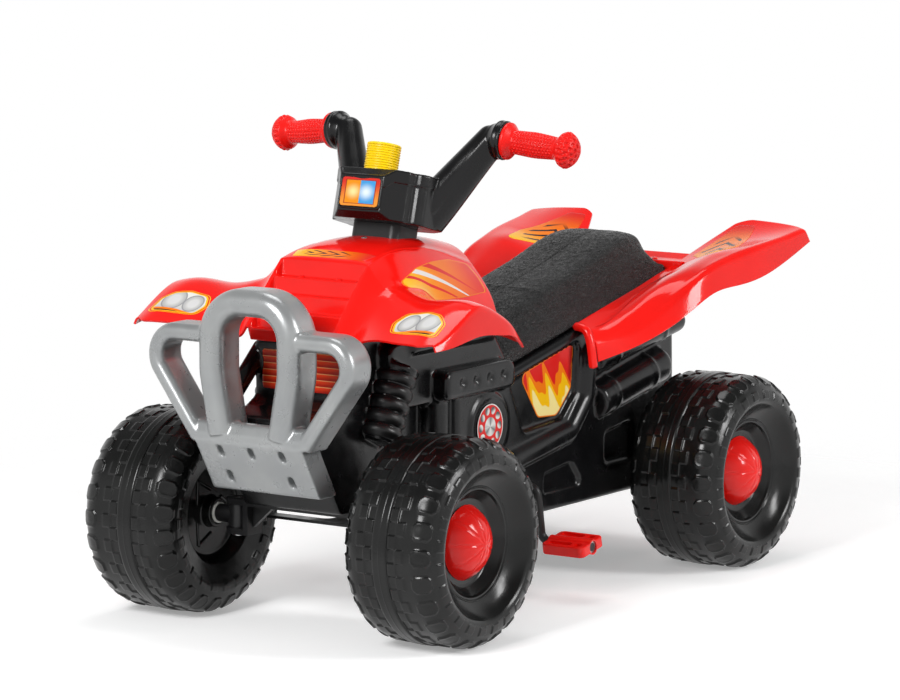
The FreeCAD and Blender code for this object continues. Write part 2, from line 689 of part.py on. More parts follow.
def handlebar():
    """Console block with two thick arms and the spigots for the grips."""
    block = Part.Face(rounded_wire(console_outline(), lambda x, y: Vector(x, y, CONSOLE_BOTTOM))).extrude(
        AXIS_Z * (CONSOLE_TOP - CONSOLE_BOTTOM))
    trim = Part.Face(rounded_wire(
        [(-CONSOLE_FRONT - 1, CONSOLE_TOP - 12, 0), (-CONSOLE_FRONT + 12, CONSOLE_TOP + 1, 0),
         (-CONSOLE_FRONT - 1, CONSOLE_TOP + 1, 0)], lambda y, z: Vector(-90, y, z))).extrude(AXIS_X * 180)
    under = Part.Face(rounded_wire(
        [(-CONSOLE_FRONT - 1, CONSOLE_BOTTOM - 1, 0), (-CONSOLE_FRONT + 14, CONSOLE_BOTTOM - 1, 0),
         (-CONSOLE_FRONT - 1, CONSOLE_BOTTOM + 9, 0)], lambda y, z: Vector(-90, y, z))).extrude(AXIS_X * 180)
    block = block.cut([trim, under])
    tip, run = grip_axis()
    base = Vector(56, 6, 40)
    heel = tip - run * (ARM_TIP_RADIUS - 6)
    lean = heel - base
    cone = Part.makeCone(ARM_FOOT_RADIUS, ARM_TIP_RADIUS, lean.Length, base, lean)
    ball = Part.makeSphere(ARM_TIP_RADIUS, heel)
    foot = Part.makeSphere(ARM_FOOT_RADIUS, base)
    wide = GRIP_FLANGE_RADIUS + 1.5
    disc = revolved([(-12, 0, 0), (-12, ARM_TIP_RADIUS - 2, 4), (0, wide - 3, 5), (3, wide, 3), (7, wide, 2),
                     (8.5, wide - 2, 1.5), (10, wide, 2), (ARM_END, wide, 2), (ARM_END, 0, 0)])
    disc.Placement = FreeCAD.Placement(tip, FreeCAD.Rotation(AXIS_X, run))
    spigot = bar(tip, tip + run * (ARM_END + GRIP_LENGTH - 15), SPIGOT_RADIUS)
    left = join([cone, foot, ball, disc, spigot])
    whole = join([block, left, mirrored(left)])
    socket = bar(Vector(0, 0, CONSOLE_BOTTOM - 1), Vector(0, 0, CONSOLE_BOTTOM + 34), AXLE_RADIUS)
    cross = bar(Vector(0, 0, BOLT_LEVEL), Vector(0, 90, BOLT_LEVEL), SCREW_RADIUS)
    lower = Part.makeBox(400, 400, 60, Vector(-200, -200, CONSOLE_BOTTOM - 60))
    return steering_place(whole.cut([socket, cross, lower]))


def handlebar_bolt():
    """Bolt from the back of the console that locks it to the column."""
    shank = bar(Vector(0, AXLE_RADIUS, BOLT_LEVEL), Vector(0, CONSOLE_REAR, BOLT_LEVEL), SCREW_RADIUS)
    head = Part.makeCone(SCREW_HEAD_RADIUS, SCREW_HEAD_RADIUS - 1.6, SCREW_HEAD,
                         Vector(0, CONSOLE_REAR, BOLT_LEVEL), AXIS_Y)
    return steering_place(join([shank, head]))


def grip():
    """Left grip: flange, round body and a wide mushroom end, closed at the tip."""
    tip, run = grip_axis()
    start = 0.0
    end = GRIP_LENGTH
    r = GRIP_RADIUS
    corners = [(start, SPIGOT_RADIUS, 0), (start, GRIP_FLANGE_RADIUS, 2), (start + 5, GRIP_FLANGE_RADIUS, 2),
               (start + 12, r + 1.5, 5), (start + 60, r + 0.6, 200), (end - 30, r, 6),
               (end - 21, GRIP_FLANGE_RADIUS - 2, 5), (end - 13, GRIP_FLANGE_RADIUS, 5),
               (end - 4, GRIP_FLANGE_RADIUS - 4, 6), (end, 12, 3), (end, 0, 0), (end - 14, 0, 0),
               (end - 14, SPIGOT_RADIUS, 0)]
    solid = revolved(corners)
    turn = FreeCAD.Rotation(AXIS_X, run)
    solid.Placement = FreeCAD.Placement(tip + run * ARM_END, turn)
    return solid


def console_panel():
    """Thin panel on the front face of the console."""
    corners = [(-31, CONSOLE_BOTTOM + 14, 4), (31, CONSOLE_BOTTOM + 14, 4), (31, CONSOLE_TOP - 15, 4),
               (-31, CONSOLE_TOP - 15, 4)]
    wire = rounded_wire(corners, lambda x, z: Vector(x, -CONSOLE_FRONT - PANEL_THICKNESS, z))
    return steering_place(Part.Face(wire).extrude(AXIS_Y * PANEL_THICKNESS))


def horn_bellows():
    """Ribbed hollow bellows that stands on the console."""
    pitch = (HORN_HEIGHT - 3) / HORN_RIBS
    outline = [(0, HORN_RADIUS - 5, 0), (0, HORN_RADIUS, 0), (1.5, HORN_RADIUS, 0)]
    for i in range(HORN_RIBS):
        low = 1.5 + i * pitch
        outline += [(low + pitch * 0.25, HORN_RADIUS - 2.6, 0), (low + pitch * 0.5, HORN_RADIUS - 2.6, 0),
                    (low + pitch * 0.75, HORN_RADIUS, 0), (low + pitch, HORN_RADIUS, 0)]
    outline += [(HORN_HEIGHT, HORN_RADIUS, 0), (HORN_HEIGHT, HORN_RADIUS - 5, 0)]
    wire = rounded_wire(outline, lambda z, r: Vector(0, HORN_BACK + r, CONSOLE_TOP + z))
    return steering_place(Part.Face(wire).revolve(Vector(0, HORN_BACK, 0), AXIS_Z, 360))


def horn_cap():
    """Round cap that is pressed down on the bellows."""
    low = CONSOLE_TOP + HORN_HEIGHT + 0.3
    corners = [(0, low, 0), (HORN_RADIUS, low, 1), (HORN_RADIUS, low + HORN_CAP_THICKNESS, 2.4),
               (0, low + HORN_CAP_THICKNESS, 0)]
    wire = rounded_wire(corners, lambda r, z: Vector(0, HORN_BACK + r, z))
    return steering_place(Part.Face(wire).revolve(Vector(0, HORN_BACK, 0), AXIS_Z, 360))


def collar_outline(grow):
    """Plan outline of the steering collar in the steering frame."""
    return [(-38 - grow, -30 - grow, 12), (38 + grow, -30 - grow, 12), (38 + grow, 28 + grow, 12),
            (-38 - grow, 28 + grow, 12)]


def collar_level():
    """Lower and upper height of the collar along the column."""
    top = CONSOLE_BOTTOM - RUNNING_GAP
    return top - COLLAR_HEIGHT, top


def steering_collar():
    """Fixed collar between the cowl and the console, with the upper bearing of the column."""
    low, top = collar_level()
    block = Part.Face(rounded_wire(collar_outline(0), lambda x, y: Vector(x, y, low))).extrude(
        AXIS_Z * (top - low))
    return steering_place(block.cut(bar(Vector(0, 0, low - 1), Vector(0, 0, top + 1), BORE_RADIUS)))


def column_bush():
    """Lower bearing of the column inside the chassis."""
    foot = (FRONT_BELLY_UP - STEER_UP) / math.cos(RAKE) + 8
    return steering_place(tube(Vector(0, 0, foot), Vector(0, 0, foot + BUSH_LENGTH), BUSH_RADIUS, BORE_RADIUS))


def hood_stations():
    """Half sections of the hood (x, up) from the middle plane outwards, by distance behind the axle."""
    ridge = RIDGE_TOP_X
    return [
        (-44, [(0, 395), (44, 396), (ridge + 2, 397), (90, 380), (102, 358)]),
        (-8, [(0, 435), (44, 436), (ridge + 1, 437), (92, 412), (108, 386)]),
        (30, [(0, 481), (40, 481), (ridge, 479), (92, 452), (112, 420)]),
        (90, [(0, 499), (38, 498), (ridge - 2, 492), (92, 461), (112, 420)]),
        (150, [(0, 504), (38, 502), (ridge - 2, 490), (92, 456), (112, 408)]),
        (220, [(0, 499), (36, 495), (ridge - 5, 477), (90, 442), (110, 396)]),
        (285, [(0, 486), (35, 479), (ridge - 8, 459), (88, 428), (107, 388)]),
    ]


def front_guard_stations():
    """Sections of the left front mudguard: where, how skewed, five points on top, lower edge of the lip."""
    return [
        (-26.8, -0.2, [(80, 383), (118, 395), (176, 398), (218, 398), (236, 395)], (239, 390)),
        (3.8, -0.16, [(80, 412), (115, 419), (165, 417), (220, 417), (245, 409)], (249, 393)),
        (37.2, -0.045, [(82, 448), (112, 446), (160, 440), (215, 443), (246, 437)], (250, 401)),
        (80, 0, [(90.3, 456), (112, 445), (160, 431), (215, 432), (246, 424)], (250, 397)),
        (115, 0, [(97.8, 440), (115, 428), (160, 411), (215, 409), (245, 402)], (249, 389)),
        (136, 0, [(107.2, 413), (122, 405), (160, 393), (215, 388), (243, 381)], (246, 375)),
    ]


def step_line():
    """Side view of the stepped grille, from its lower lip to the hood."""
    back, up = STEP_START_BACK, STEP_START_UP
    line = [(back - 2, up - 16), (back, up)]
    for _ in range(STEP_COUNT):
        back += STEP_TREAD
        line.append((back, up))
        back += STEP_LEAN
        up += STEP_RISE
        line.append((back, up))
    return line


def front_cowl():
    """Thin moulded cowl: hood, stepped grille and both front mudguards."""
    wires = [skin_wire(full_section(half), COWL_WALL, back) for back, half in hood_stations()]
    brow = Part.makeLoft(wires[:3], True, False)
    hood = Part.makeLoft(wires[2:], True, False)
    guard = Part.makeLoft([skin_wire(points, COWL_WALL, back, skew, lip)
                           for back, skew, points, lip in front_guard_stations()], True, False)
    line = step_line()
    under = [(back + STEP_WALL, up - STEP_WALL) for back, up in reversed(line)]
    corners = [(back, up, 0) for back, up in line + under]
    steps = side_prism(corners, -STEP_HALF, STEP_HALF)
    nose_back, nose_half = hood_stations()[0]
    brow_back, brow_half = hood_stations()[2]
    nose_up, brow_up = nose_half[2][1] - COWL_WALL / 2, brow_half[2][1] - COWL_WALL / 2
    cheek = side_prism([(nose_back, nose_up - 15, 0), (nose_back, nose_up, 0), (brow_back, brow_up, 0),
                        (brow_back + 8, brow_up, 0), (brow_back + 8, brow_up - 22, 0),
                        (nose_back + 16, nose_up - 15, 0)], STEP_HALF - 5, STEP_HALF)
    grille_room = box_between(2 - STEP_HALF, STEP_HALF - 2, nose_back - 5, brow_back - 1, 340, 520)
    whole = join([hood, brow.cut(grille_room), steps, guard, mirrored(guard), cheek, mirrored(cheek)])
    low, top = collar_level()
    window = Part.Face(rounded_wire(collar_outline(1), lambda x, y: Vector(x, y, low - PAD_DEPTH))).extrude(
        AXIS_Z * (top - low + PAD_DEPTH + 180))
    cuts = [steering_place(window)]
    cuts += [bar(p - AXIS_Z * 8, p + AXIS_Z * 8, SCREW_RADIUS) for p in cowl_screw_points()]
    return whole.cut(cuts)


def cowl_screw_points():
    """Where the cowl is screwed down: on the top tread of the grille."""
    back = STEP_START_BACK + (STEP_COUNT - 1) * (STEP_TREAD + STEP_LEAN) + STEP_TREAD * 0.6
    up = STEP_START_UP + (STEP_COUNT - 1) * STEP_RISE
    return [at(x, back, up) for x in (-30, 30)]


def cowl_post():
    """Post of the chassis that carries the top tread of the grille."""
    back = STEP_START_BACK + (STEP_COUNT - 1) * (STEP_TREAD + STEP_LEAN) + STEP_WALL + 0.6
    up = STEP_START_UP + (STEP_COUNT - 1) * STEP_RISE - STEP_WALL
    return box_between(-50, 50, back, back + STEP_TREAD - 1.5, up - 60, up)


def wing_back(back):
    """Distance behind the axle of a place on the wing, which reaches to the tail."""
    return WING_START_BACK + (back - WING_START_BACK) * (TAIL_BACK - WING_START_BACK) / WING_LENGTH


def rear_guard_stations():
    """Sections of the left rear mudguard: where, points on top with the ridge last, the lower edge.

    Heights in the table stand on the seat's base, and the first five sections start on the ledge by the seat.
    """
    table = [
        (492, 4, [(114, 23), (126, 15), (134, 1)], (137, -19)),
        (546, 4, [(122, 33), (143, 31), (161, 19)], (170, 1)),
        (604, 4, [(121, 55), (152, 63), (187, 59)], (201, 32)),
        (WING_START_BACK, 4, [(120, 71), (158, 85), (207, 100)], (218, 65)),
        (wing_back(720), 5, [(122, 83), (165, 99), (215, 113)], (227, 71)),
        (wing_back(765), None, [(97, 89), (128, 96), (172, 111), (224, 121)], (234, 77)),
        (wing_back(831), None, [(112, 113), (145, 118), (185, 124), (232, 129)], (239, 95)),
        (TAIL_BACK, None, [(131, 142), (160, 142), (195, 141), (238, 136)], (241, 118)),
    ]
    stations = []
    for back, step, over, (edge_x, edge) in table:
        points = [(x, SEAT_BASE_UP + rise) for x, rise in over]
        if step is not None:
            points.insert(0, (LEDGE_X, seat_up(back) + step))
        stations.append((back, points, (edge_x, SEAT_BASE_UP + edge)))
    return stations


def rear_fender():
    """Thin moulding of both rear mudguards with their wings, joined by the deck behind the seat."""
    guard = Part.makeLoft([skin_wire(points, FENDER_WALL, back, 0.0, lip)
                           for back, points, lip in rear_guard_stations()], True, False)
    bead_foot = at(131, 488, SEAT_BASE_UP - 29)
    bead = bent_rod([at(LEDGE_X + 3, 492, seat_up(492) + 4), at(119, 490, SEAT_BASE_UP + 22), bead_foot], 14, 5.5)
    bead_end = Part.makeSphere(5.5, bead_foot)
    left = join([guard, bead, bead_end])
    deck = side_prism([(SEAT_END_BACK + 3, DECK_UP, 0), (SEAT_END_BACK + 3, DECK_UP + DECK_WALL + 6, 3),
                       (SEAT_END_BACK + 14, DECK_UP + DECK_WALL + 3, 6),
                       (800, DECK_UP + DECK_WALL + 6, 4), (800, DECK_UP, 0)], -108, 108)
    flange = side_prism([(786, DECK_UP + DECK_WALL, 0), (808, DECK_UP + 17, 0), (811, DECK_UP + 14, 0),
                         (800, DECK_UP - 10, 3), (794, DECK_UP - 10, 0)], -112, 112)
    spine = side_prism([(700, 320, 0), (786, 320, 0), (786, DECK_UP, 0), (700, DECK_UP, 0)],
                       -SPINE_HALF - 2, SPINE_HALF + 2)
    whole = join([deck, flange, left, mirrored(left)]).cut(spine)
    cuts = [bar(p - AXIS_Z * 16, p + AXIS_Z * 16, SCREW_RADIUS) for p in fender_screw_points()]
    return whole.cut(cuts)


def fender_screw_points():
    """Screws through the deck into the chassis."""
    return [at(x, 772, DECK_UP + DECK_WALL + 4.2) for x in (-55, 55)]


def seat_stations():
    """Half sections of the seat by distance behind the axle: height over its base, half width of the top."""
    return [(328, 36.284, 58), (385, 47.915, 61), (440, 55.98, 63), (475, 59.385, 64), (580, 64.1, 64),
            (690, 68.73, 62), (722, 53.786, 58), (742, 20.446, 52)]


def seat():
    """Moulded seat with drawn-in sides and a crease along the middle."""
    wires = []
    for back, rise, half in seat_stations():
        low = seat_up(back)
        top = low + rise
        points = [(0, top + 1.5), (half - 14, top), (half + 2, top - 0.14 * rise - 2),
                  (SEAT_HALF - 11, low + 0.42 * rise), (SEAT_HALF - 2, low + 7), (SEAT_HALF, low + 0.1)]
        wires.append(solid_section(full_section(points), back, low))
    body = Part.makeLoft(wires, True, False)
    front, rear = seat_up(462), seat_up(690)
    crease = side_prism([(462, front + 56.606, 0), (690, rear + 68.33, 0), (690, rear + 82.73, 0),
                         (462, front + 87.206, 0)], -1.1, 1.1)
    return body.cut(crease)


def bumper():
    """Moulded bumper: slotted skid plate, centre arch and two side loops."""
    front = FRONT_OVERHANG
    low = (PLATE_LOW_BACK, PLATE_LOW_UP)
    outline = [(low[0], low[1], 6), (PLATE_TOP_BACK, PLATE_TOP_UP, 16), (PLATE_TOP_BACK + 11, PLATE_TOP_UP + 20, 6),
               (PLATE_TOP_BACK + 30, PLATE_TOP_UP + 20, 6), (plate_back(PLATE_TOP_UP - 4), PLATE_TOP_UP - 4, 0),
               (plate_back(low[1]), low[1], 4)]
    plate = side_prism(outline, -PLATE_HALF, PLATE_HALF)
    middle = ARCH_DEPTH / 2 - front
    top = ARCH_TOP_UP
    waist, foot = top - 92, ARCH_HALF - ARCH_DRAW
    arch = band_sweep([at(-foot, middle, PLATE_TOP_UP + 4), at(-ARCH_HALF, middle, waist),
                       at(-ARCH_HALF, middle, top), at(ARCH_HALF, middle, top), at(ARCH_HALF, middle, waist),
                       at(foot, middle, PLATE_TOP_UP + 4)], ARCH_HALF - 14, ARCH_WIDTH, ARCH_DEPTH)
    centre = LOOP_DEPTH / 2 - front + 6
    loop = band_sweep([at(ARCH_HALF, centre, LOOP_TOP_UP), at(LOOP_HALF, centre, LOOP_TOP_UP),
                       at(LOOP_HALF - 1, centre, LOOP_TOP_UP - 42), at(PLATE_HALF - 2, centre, PLATE_TOP_UP - 2)],
                      LOOP_BEND, LOOP_WIDTH, LOOP_DEPTH)
    whole = join([plate, arch, loop, mirrored(loop)])
    lean = Vector(0, PLATE_TOP_BACK - PLATE_LOW_BACK, PLATE_TOP_UP - PLATE_LOW_UP).normalize()
    square = lean.cross(AXIS_X)
    cuts = []
    for x, up in bumper_slots():
        share = (up - PLATE_LOW_UP) / (PLATE_TOP_UP - PLATE_LOW_UP)
        face = at(x, PLATE_LOW_BACK + share * (PLATE_TOP_BACK - PLATE_LOW_BACK), up)
        ends = [face - lean * 5, face + lean * 5]
        cuts += [bar(p - square * 12, p + square * 12, 4.2) for p in ends]
        slab = Part.Face(Part.makePolygon([ends[0] + AXIS_X * 4.2, ends[1] + AXIS_X * 4.2,
                                           ends[1] - AXIS_X * 4.2, ends[0] - AXIS_X * 4.2,
                                           ends[0] + AXIS_X * 4.2]))
        slab.translate(square * -12)
        cuts.append(slab.extrude(square * 24))
    for x, up in bumper_screw_places():
        p = at(x, plate_back(up), up)
        cuts.append(bar(p - AXIS_Y * 80, p + AXIS_Y * 4, SCREW_RADIUS))
        cuts.append(bar(p - AXIS_Y * 80, p - AXIS_Y * 26, SCREW_HEAD_RADIUS + 0.6))
    return whole.cut(cuts)


def bumper_slots():
    """Slot places on the skid plate (x, up)."""
    return [(-49, 246), (0, 246), (49, 246), (-49, 210), (49, 210)]


def bumper_screw_places():
    """Screw places on the skid plate (x, up)."""
    return [(-24, 212), (24, 212)]


def bumper_screws():
    """Screws from the skid plate into the nose of the chassis."""
    screws = []
    for x, up in bumper_screw_places():
        p = at(x, plate_back(up), up)
        shank = bar(p - AXIS_Y * 26, p + AXIS_Y * 18, SCREW_RADIUS)
        head = bar(p - AXIS_Y * (26 + SCREW_HEAD), p - AXIS_Y * 26, SCREW_HEAD_RADIUS)
        screws.append(join([shank, head]))
    return Part.makeCompound(screws)


def down_screws(points, length):
    """Round-headed screws that point down, with the underside of the head at each point."""
    screws = []
    for p in points:
        shank = bar(p - AXIS_Z * length, p, SCREW_RADIUS)
        head = Part.makeCone(SCREW_HEAD_RADIUS, SCREW_HEAD_RADIUS - 1.6, SCREW_HEAD, p, AXIS_Z)
        screws.append(join([shank, head]))
    return Part.makeCompound(screws)


def up_screws(points, length):
    """Round-headed screws that point up, with the top of the head at each point."""
    screws = []
    for p in points:
        shank = bar(p, p + AXIS_Z * length, SCREW_RADIUS)
        head = Part.makeCone(SCREW_HEAD_RADIUS, SCREW_HEAD_RADIUS - 1.6, SCREW_HEAD, p, AXIS_Z * -1)
        screws.append(join([shank, head]))
    return Part.makeCompound(screws)


def beam_bolt_points():
    """Bolts that hold the axle beam under the nose."""
    return [at(x, 0, FRONT_BELLY_UP - EAR_THICKNESS) for x in (-45, 45)]


def cover_screw_points():
    """Screws that hold the chain cover under the belly, with their heads sunk into it."""
    front, rear = tunnel_ends()
    x = (TUNNEL_HALF + COVER_HALF) / 2
    places = (front + 8, (front + rear) / 2, rear - 10)
    return [at(side * x, back, BELLY_UP + SCREW_HEAD + 0.2) for side in (-1, 1) for back in places]


def crank_centre():
    """Distance of the crank behind the front axle that a chain of whole links asks for."""
    low, high = 0.0, WHEELBASE - 100
    for _ in range(60):
        guess = (low + high) / 2
        if chain_turns(guess) > CHAIN_LINKS:
            low = guess
        else:
            high = guess
    return (low + high) / 2


def pitch_radius(teeth):
    """Pitch radius of a sprocket."""
    return CHAIN_PITCH / (2 * math.sin(math.pi / teeth))


def chain_layout(crank_back):
    """Straight length, wrap angles and line angle of the chain loop."""
    span = math.hypot(WHEELBASE - crank_back, AXLE_UP - CRANK_UP)
    rise = math.atan2(AXLE_UP - CRANK_UP, WHEELBASE - crank_back)
    tilt = math.asin((pitch_radius(CRANK_TEETH) - pitch_radius(AXLE_TEETH)) / span)
    straight = span * math.cos(tilt)
    return straight, math.pi + 2 * tilt, math.pi - 2 * tilt, rise, tilt


def chain_turns(crank_back):
    """Number of pitches round the chain loop."""
    straight, wrap_crank, wrap_axle, _, _ = chain_layout(crank_back)
    arcs = (wrap_crank * CRANK_TEETH + wrap_axle * AXLE_TEETH) / (2 * math.pi)
    return 2 * straight / CHAIN_PITCH + arcs


def chain_pins():
    """Pin places (back, up) round the loop, one pitch apart, and the phase of both sprockets."""
    crank_back = crank_centre()
    straight, wrap_crank, wrap_axle, rise, tilt = chain_layout(crank_back)
    run = straight / CHAIN_PITCH
    axle_arc = wrap_axle * AXLE_TEETH / (2 * math.pi)
    top = math.pi / 2 + rise - tilt
    crank_r, axle_r = pitch_radius(CRANK_TEETH), pitch_radius(AXLE_TEETH)

    def round_crank(turn):
        return crank_back + crank_r * math.cos(turn), CRANK_UP + crank_r * math.sin(turn)

    def round_axle(turn):
        return WHEELBASE + axle_r * math.cos(turn), AXLE_UP + axle_r * math.sin(turn)

    bottom = top - wrap_axle
    crank_phase = axle_phase = None
    pins = []
    for i in range(CHAIN_LINKS):
        if i <= run:
            a, b = round_crank(top), round_axle(top)
            share = i / run
            pins.append((a[0] + (b[0] - a[0]) * share, a[1] + (b[1] - a[1]) * share))
        elif i <= run + axle_arc:
            turn = top - (i - run) * 2 * math.pi / AXLE_TEETH
            axle_phase = turn
            pins.append(round_axle(turn))
        elif i <= 2 * run + axle_arc:
            a, b = round_axle(bottom), round_crank(bottom)
            share = (i - run - axle_arc) / run
            pins.append((a[0] + (b[0] - a[0]) * share, a[1] + (b[1] - a[1]) * share))
        else:
            turn = bottom - (i - 2 * run - axle_arc) * 2 * math.pi / CRANK_TEETH
            crank_phase = turn
            pins.append(round_crank(turn))
    return pins, crank_phase, axle_phase


def link_plate(x0):
    """Side plate of a chain link with round ends, along +Y from the first pin."""
    half = CHAIN_PLATE_HALF
    corners = [(-half, -half, half - 0.05), (CHAIN_PITCH + half, -half, half - 0.05),
               (CHAIN_PITCH + half, half, half - 0.05), (-half, half, half - 0.05)]
    wire = rounded_wire(corners, lambda along, up: Vector(x0, along, up))
    return Part.Face(wire).extrude(AXIS_X * CHAIN_PLATE)


def inner_link():
    """Two plates joined by two hollow rollers."""
    half = CHAIN_INNER_WIDTH / 2
    pieces = [link_plate(half), link_plate(-half - CHAIN_PLATE)]
    for along in (0, CHAIN_PITCH):
        pieces.append(bar(Vector(-half - 0.5, along, 0), Vector(half + 0.5, along, 0), ROLLER_RADIUS))
    holes = [bar(Vector(-20, along, 0), Vector(20, along, 0), CHAIN_PIN_RADIUS + CHAIN_PLAY)
             for along in (0, CHAIN_PITCH)]
    return join(pieces).cut(holes)


def outer_link():
    """Two plates joined by two pins."""
    half = CHAIN_INNER_WIDTH / 2 + CHAIN_PLATE + CHAIN_PLAY
    pieces = [link_plate(half), link_plate(-half - CHAIN_PLATE)]
    reach = half + CHAIN_PLATE + 0.6
    for along in (0, CHAIN_PITCH):
        pieces.append(bar(Vector(-reach, along, 0), Vector(reach, along, 0), CHAIN_PIN_RADIUS))
    return join(pieces)


def drive_chain():
    """Roller chain round both sprockets, link by link."""
    pins, _, _ = chain_pins()
    kinds = (inner_link(), outer_link())
    links = []
    for i, (back, up) in enumerate(pins):
        ahead = pins[(i + 1) % CHAIN_LINKS]
        turn = math.degrees(math.atan2(ahead[1] - up, ahead[0] - back))
        slack = (math.hypot(ahead[0] - back, ahead[1] - up) - CHAIN_PITCH) / 2
        link = kinds[i % 2].copy()
        link.translate(AXIS_Y * slack)
        link.rotate(ORIGIN, AXIS_X, turn)
        link.translate(at(0, back, up))
        links.append(link)
    return Part.makeCompound(links)


def sprocket(teeth, phase, back, up, bore):
    """Toothed disc whose gaps take the chain rollers."""
    radius = pitch_radius(teeth)
    half = SPROCKET_THICKNESS / 2
    centre = at(0, back, up)
    disc = bar(centre - AXIS_X * half, centre + AXIS_X * half, radius + 2.7)
    hub = bar(centre - AXIS_X * 9, centre + AXIS_X * 9, bore + 6)
    gaps = []
    for i in range(teeth):
        turn = phase + 2 * math.pi * i / teeth
        p = centre + Vector(0, radius * math.cos(turn), radius * math.sin(turn))
        gaps.append(bar(p - AXIS_X * 10, p + AXIS_X * 10, ROLLER_RADIUS + 0.3))
        mouth = centre + Vector(0, (radius + 3) * math.cos(turn), (radius + 3) * math.sin(turn))
        gaps.append(bar(mouth - AXIS_X * 10, mouth + AXIS_X * 10, ROLLER_RADIUS + 1.7))
    body = disc.cut(gaps).fuse(hub).removeSplitter()
    return body.cut(bar(centre - AXIS_X * 10, centre + AXIS_X * 10, bore))


def crank_tip(side):
    """Place of a pedal pin (back, up): the left one low, the right one opposite."""
    turn = math.radians(CRANK_PHASE_DEG)
    return (crank_centre() + side * CRANK_ARM * math.sin(turn), CRANK_UP - side * CRANK_ARM * math.cos(turn))


def crankshaft():
    """Bent steel rod: axle through the chassis, two arms and two pedal pins."""
    back = crank_centre()
    left, right = crank_tip(1), crank_tip(-1)
    reach = PEDAL_OUTER_X - 2
    points = [at(reach, *left), at(CRANK_ARM_X, *left), at(CRANK_ARM_X, back, CRANK_UP),
              at(-CRANK_ARM_X, back, CRANK_UP), at(-CRANK_ARM_X, *right), at(-reach, *right)]
    return bent_rod(points, CRANK_BEND, AXLE_RADIUS)


def pedal(side):
    """Flat pedal block with slots on both sides of its bearing tube."""
    inner = CRANK_ARM_X + CRANK_BEND + 1.5
    outer = PEDAL_OUTER_X
    h = PEDAL_DEPTH / 2
    t = PEDAL_THICKNESS / 2
    plan = [(inner, -h, 8), (outer, -h, 8), (outer, h, 8), (inner, h, 8)]
    slab = Part.Face(rounded_wire(plan, lambda x, y: Vector(x, y, -t))).extrude(AXIS_Z * 2 * t)
    slab = slab.makeFillet(2.0, slab.Edges)
    boss = bar(Vector(inner, 0, 0), Vector(outer, 0, 0), PEDAL_BOSS_RADIUS)
    solid = join([slab, boss])
    slots = []
    for y0, y1 in ((-h + 6, -PEDAL_BOSS_RADIUS - 1.5), (PEDAL_BOSS_RADIUS + 1.5, h - 6)):
        for x0, x1 in ((inner + 8, outer - 24), (outer - 18, outer - 8)):
            corners = [(x0, y0, 3), (x1, y0, 3), (x1, y1, 3), (x0, y1, 3)]
            slots.append(Part.Face(rounded_wire(corners, lambda x, y: Vector(x, y, -t - 1))).extrude(
                AXIS_Z * (2 * t + 2)))
    bore = bar(Vector(inner - 1, 0, 0), Vector(outer + 1, 0, 0), BORE_RADIUS)
    pocket = bar(Vector(outer - CLIP_THICKNESS - 2.5, 0, 0), Vector(outer + 1, 0, 0), AXLE_RADIUS + 2.6)
    solid = solid.cut(slots + [bore, pocket])
    solid.rotate(ORIGIN, AXIS_X, PEDAL_TILT_DEG)
    return set_pedal(solid, side)


def set_pedal(shape, side):
    """Put a pedal piece on its crank pin."""
    moved = shape if side > 0 else mirrored(shape)
    moved.translate(at(0, *crank_tip(side)))
    return moved


def pedal_clip(side):
    """Push-on ring that keeps the pedal on its pin."""
    end = PEDAL_OUTER_X - 2.3
    return set_pedal(tube(Vector(end - CLIP_THICKNESS, 0, 0), Vector(end, 0, 0), AXLE_RADIUS + 2.2,
                          AXLE_RADIUS), side)


def side_bush(back, up):
    """Left flanged bush in the side wall of the chassis."""
    sleeve = bar(at(BODY_HALF - BUSH_LENGTH, back, up), at(BODY_HALF, back, up), BUSH_RADIUS)
    flange = bar(at(BODY_HALF, back, up), at(BODY_HALF + BUSH_FLANGE, back, up), BUSH_FLANGE_RADIUS)
    bore = bar(at(0, back, up), at(200, back, up), BORE_RADIUS)
    return join([sleeve, flange]).cut(bore)


def rear_axle():
    """Steel axle through the chassis and both rear wheels, drilled for the drive pin."""
    reach = WHEEL_X + HUB_OUTER_FACE + BUSH_FLANGE + NUT_LENGTH + 2
    rod = bar(at(-reach, WHEELBASE, AXLE_UP), at(reach, WHEELBASE, AXLE_UP), AXLE_RADIUS)
    return rod.cut(drive_pin())


def drive_pin():
    """Cross pin that turns the left rear wheel."""
    x = WHEEL_X - HUB_INNER_FACE + DRIVE_PIN_RADIUS + 0.2
    half = DRIVE_PIN_LENGTH / 2
    return bar(at(x, WHEELBASE, AXLE_UP - half), at(x, WHEELBASE, AXLE_UP + half), DRIVE_PIN_RADIUS)


def axle_spacers():
    """Sleeves on the rear axle between the chassis bushes and the wheels."""
    start = BODY_HALF + BUSH_FLANGE + RUNNING_GAP
    left_end = WHEEL_X - HUB_INNER_FACE - RUNNING_GAP
    right_end = left_end - BUSH_FLANGE
    left = tube(at(start, WHEELBASE, AXLE_UP), at(left_end, WHEELBASE, AXLE_UP), BUSH_RADIUS, BORE_RADIUS)
    right = tube(at(-start, WHEELBASE, AXLE_UP), at(-right_end, WHEELBASE, AXLE_UP), BUSH_RADIUS, BORE_RADIUS)
    return Part.makeCompound([left, right])


def axle_nuts_rear():
    """Push-on nuts at both ends of the rear axle."""
    left = axle_nut(HUB_OUTER_FACE, WHEELBASE)
    right = mirrored(axle_nut(HUB_OUTER_FACE + BUSH_FLANGE, WHEELBASE))
    return Part.makeCompound([left, right])


def tunnel_ends():
    """Front and rear end of the chain tunnel behind the front axle."""
    front = crank_centre() - pitch_radius(CRANK_TEETH) - CHAIN_PLATE_HALF - 8
    return front, WHEELBASE + TUNNEL_END


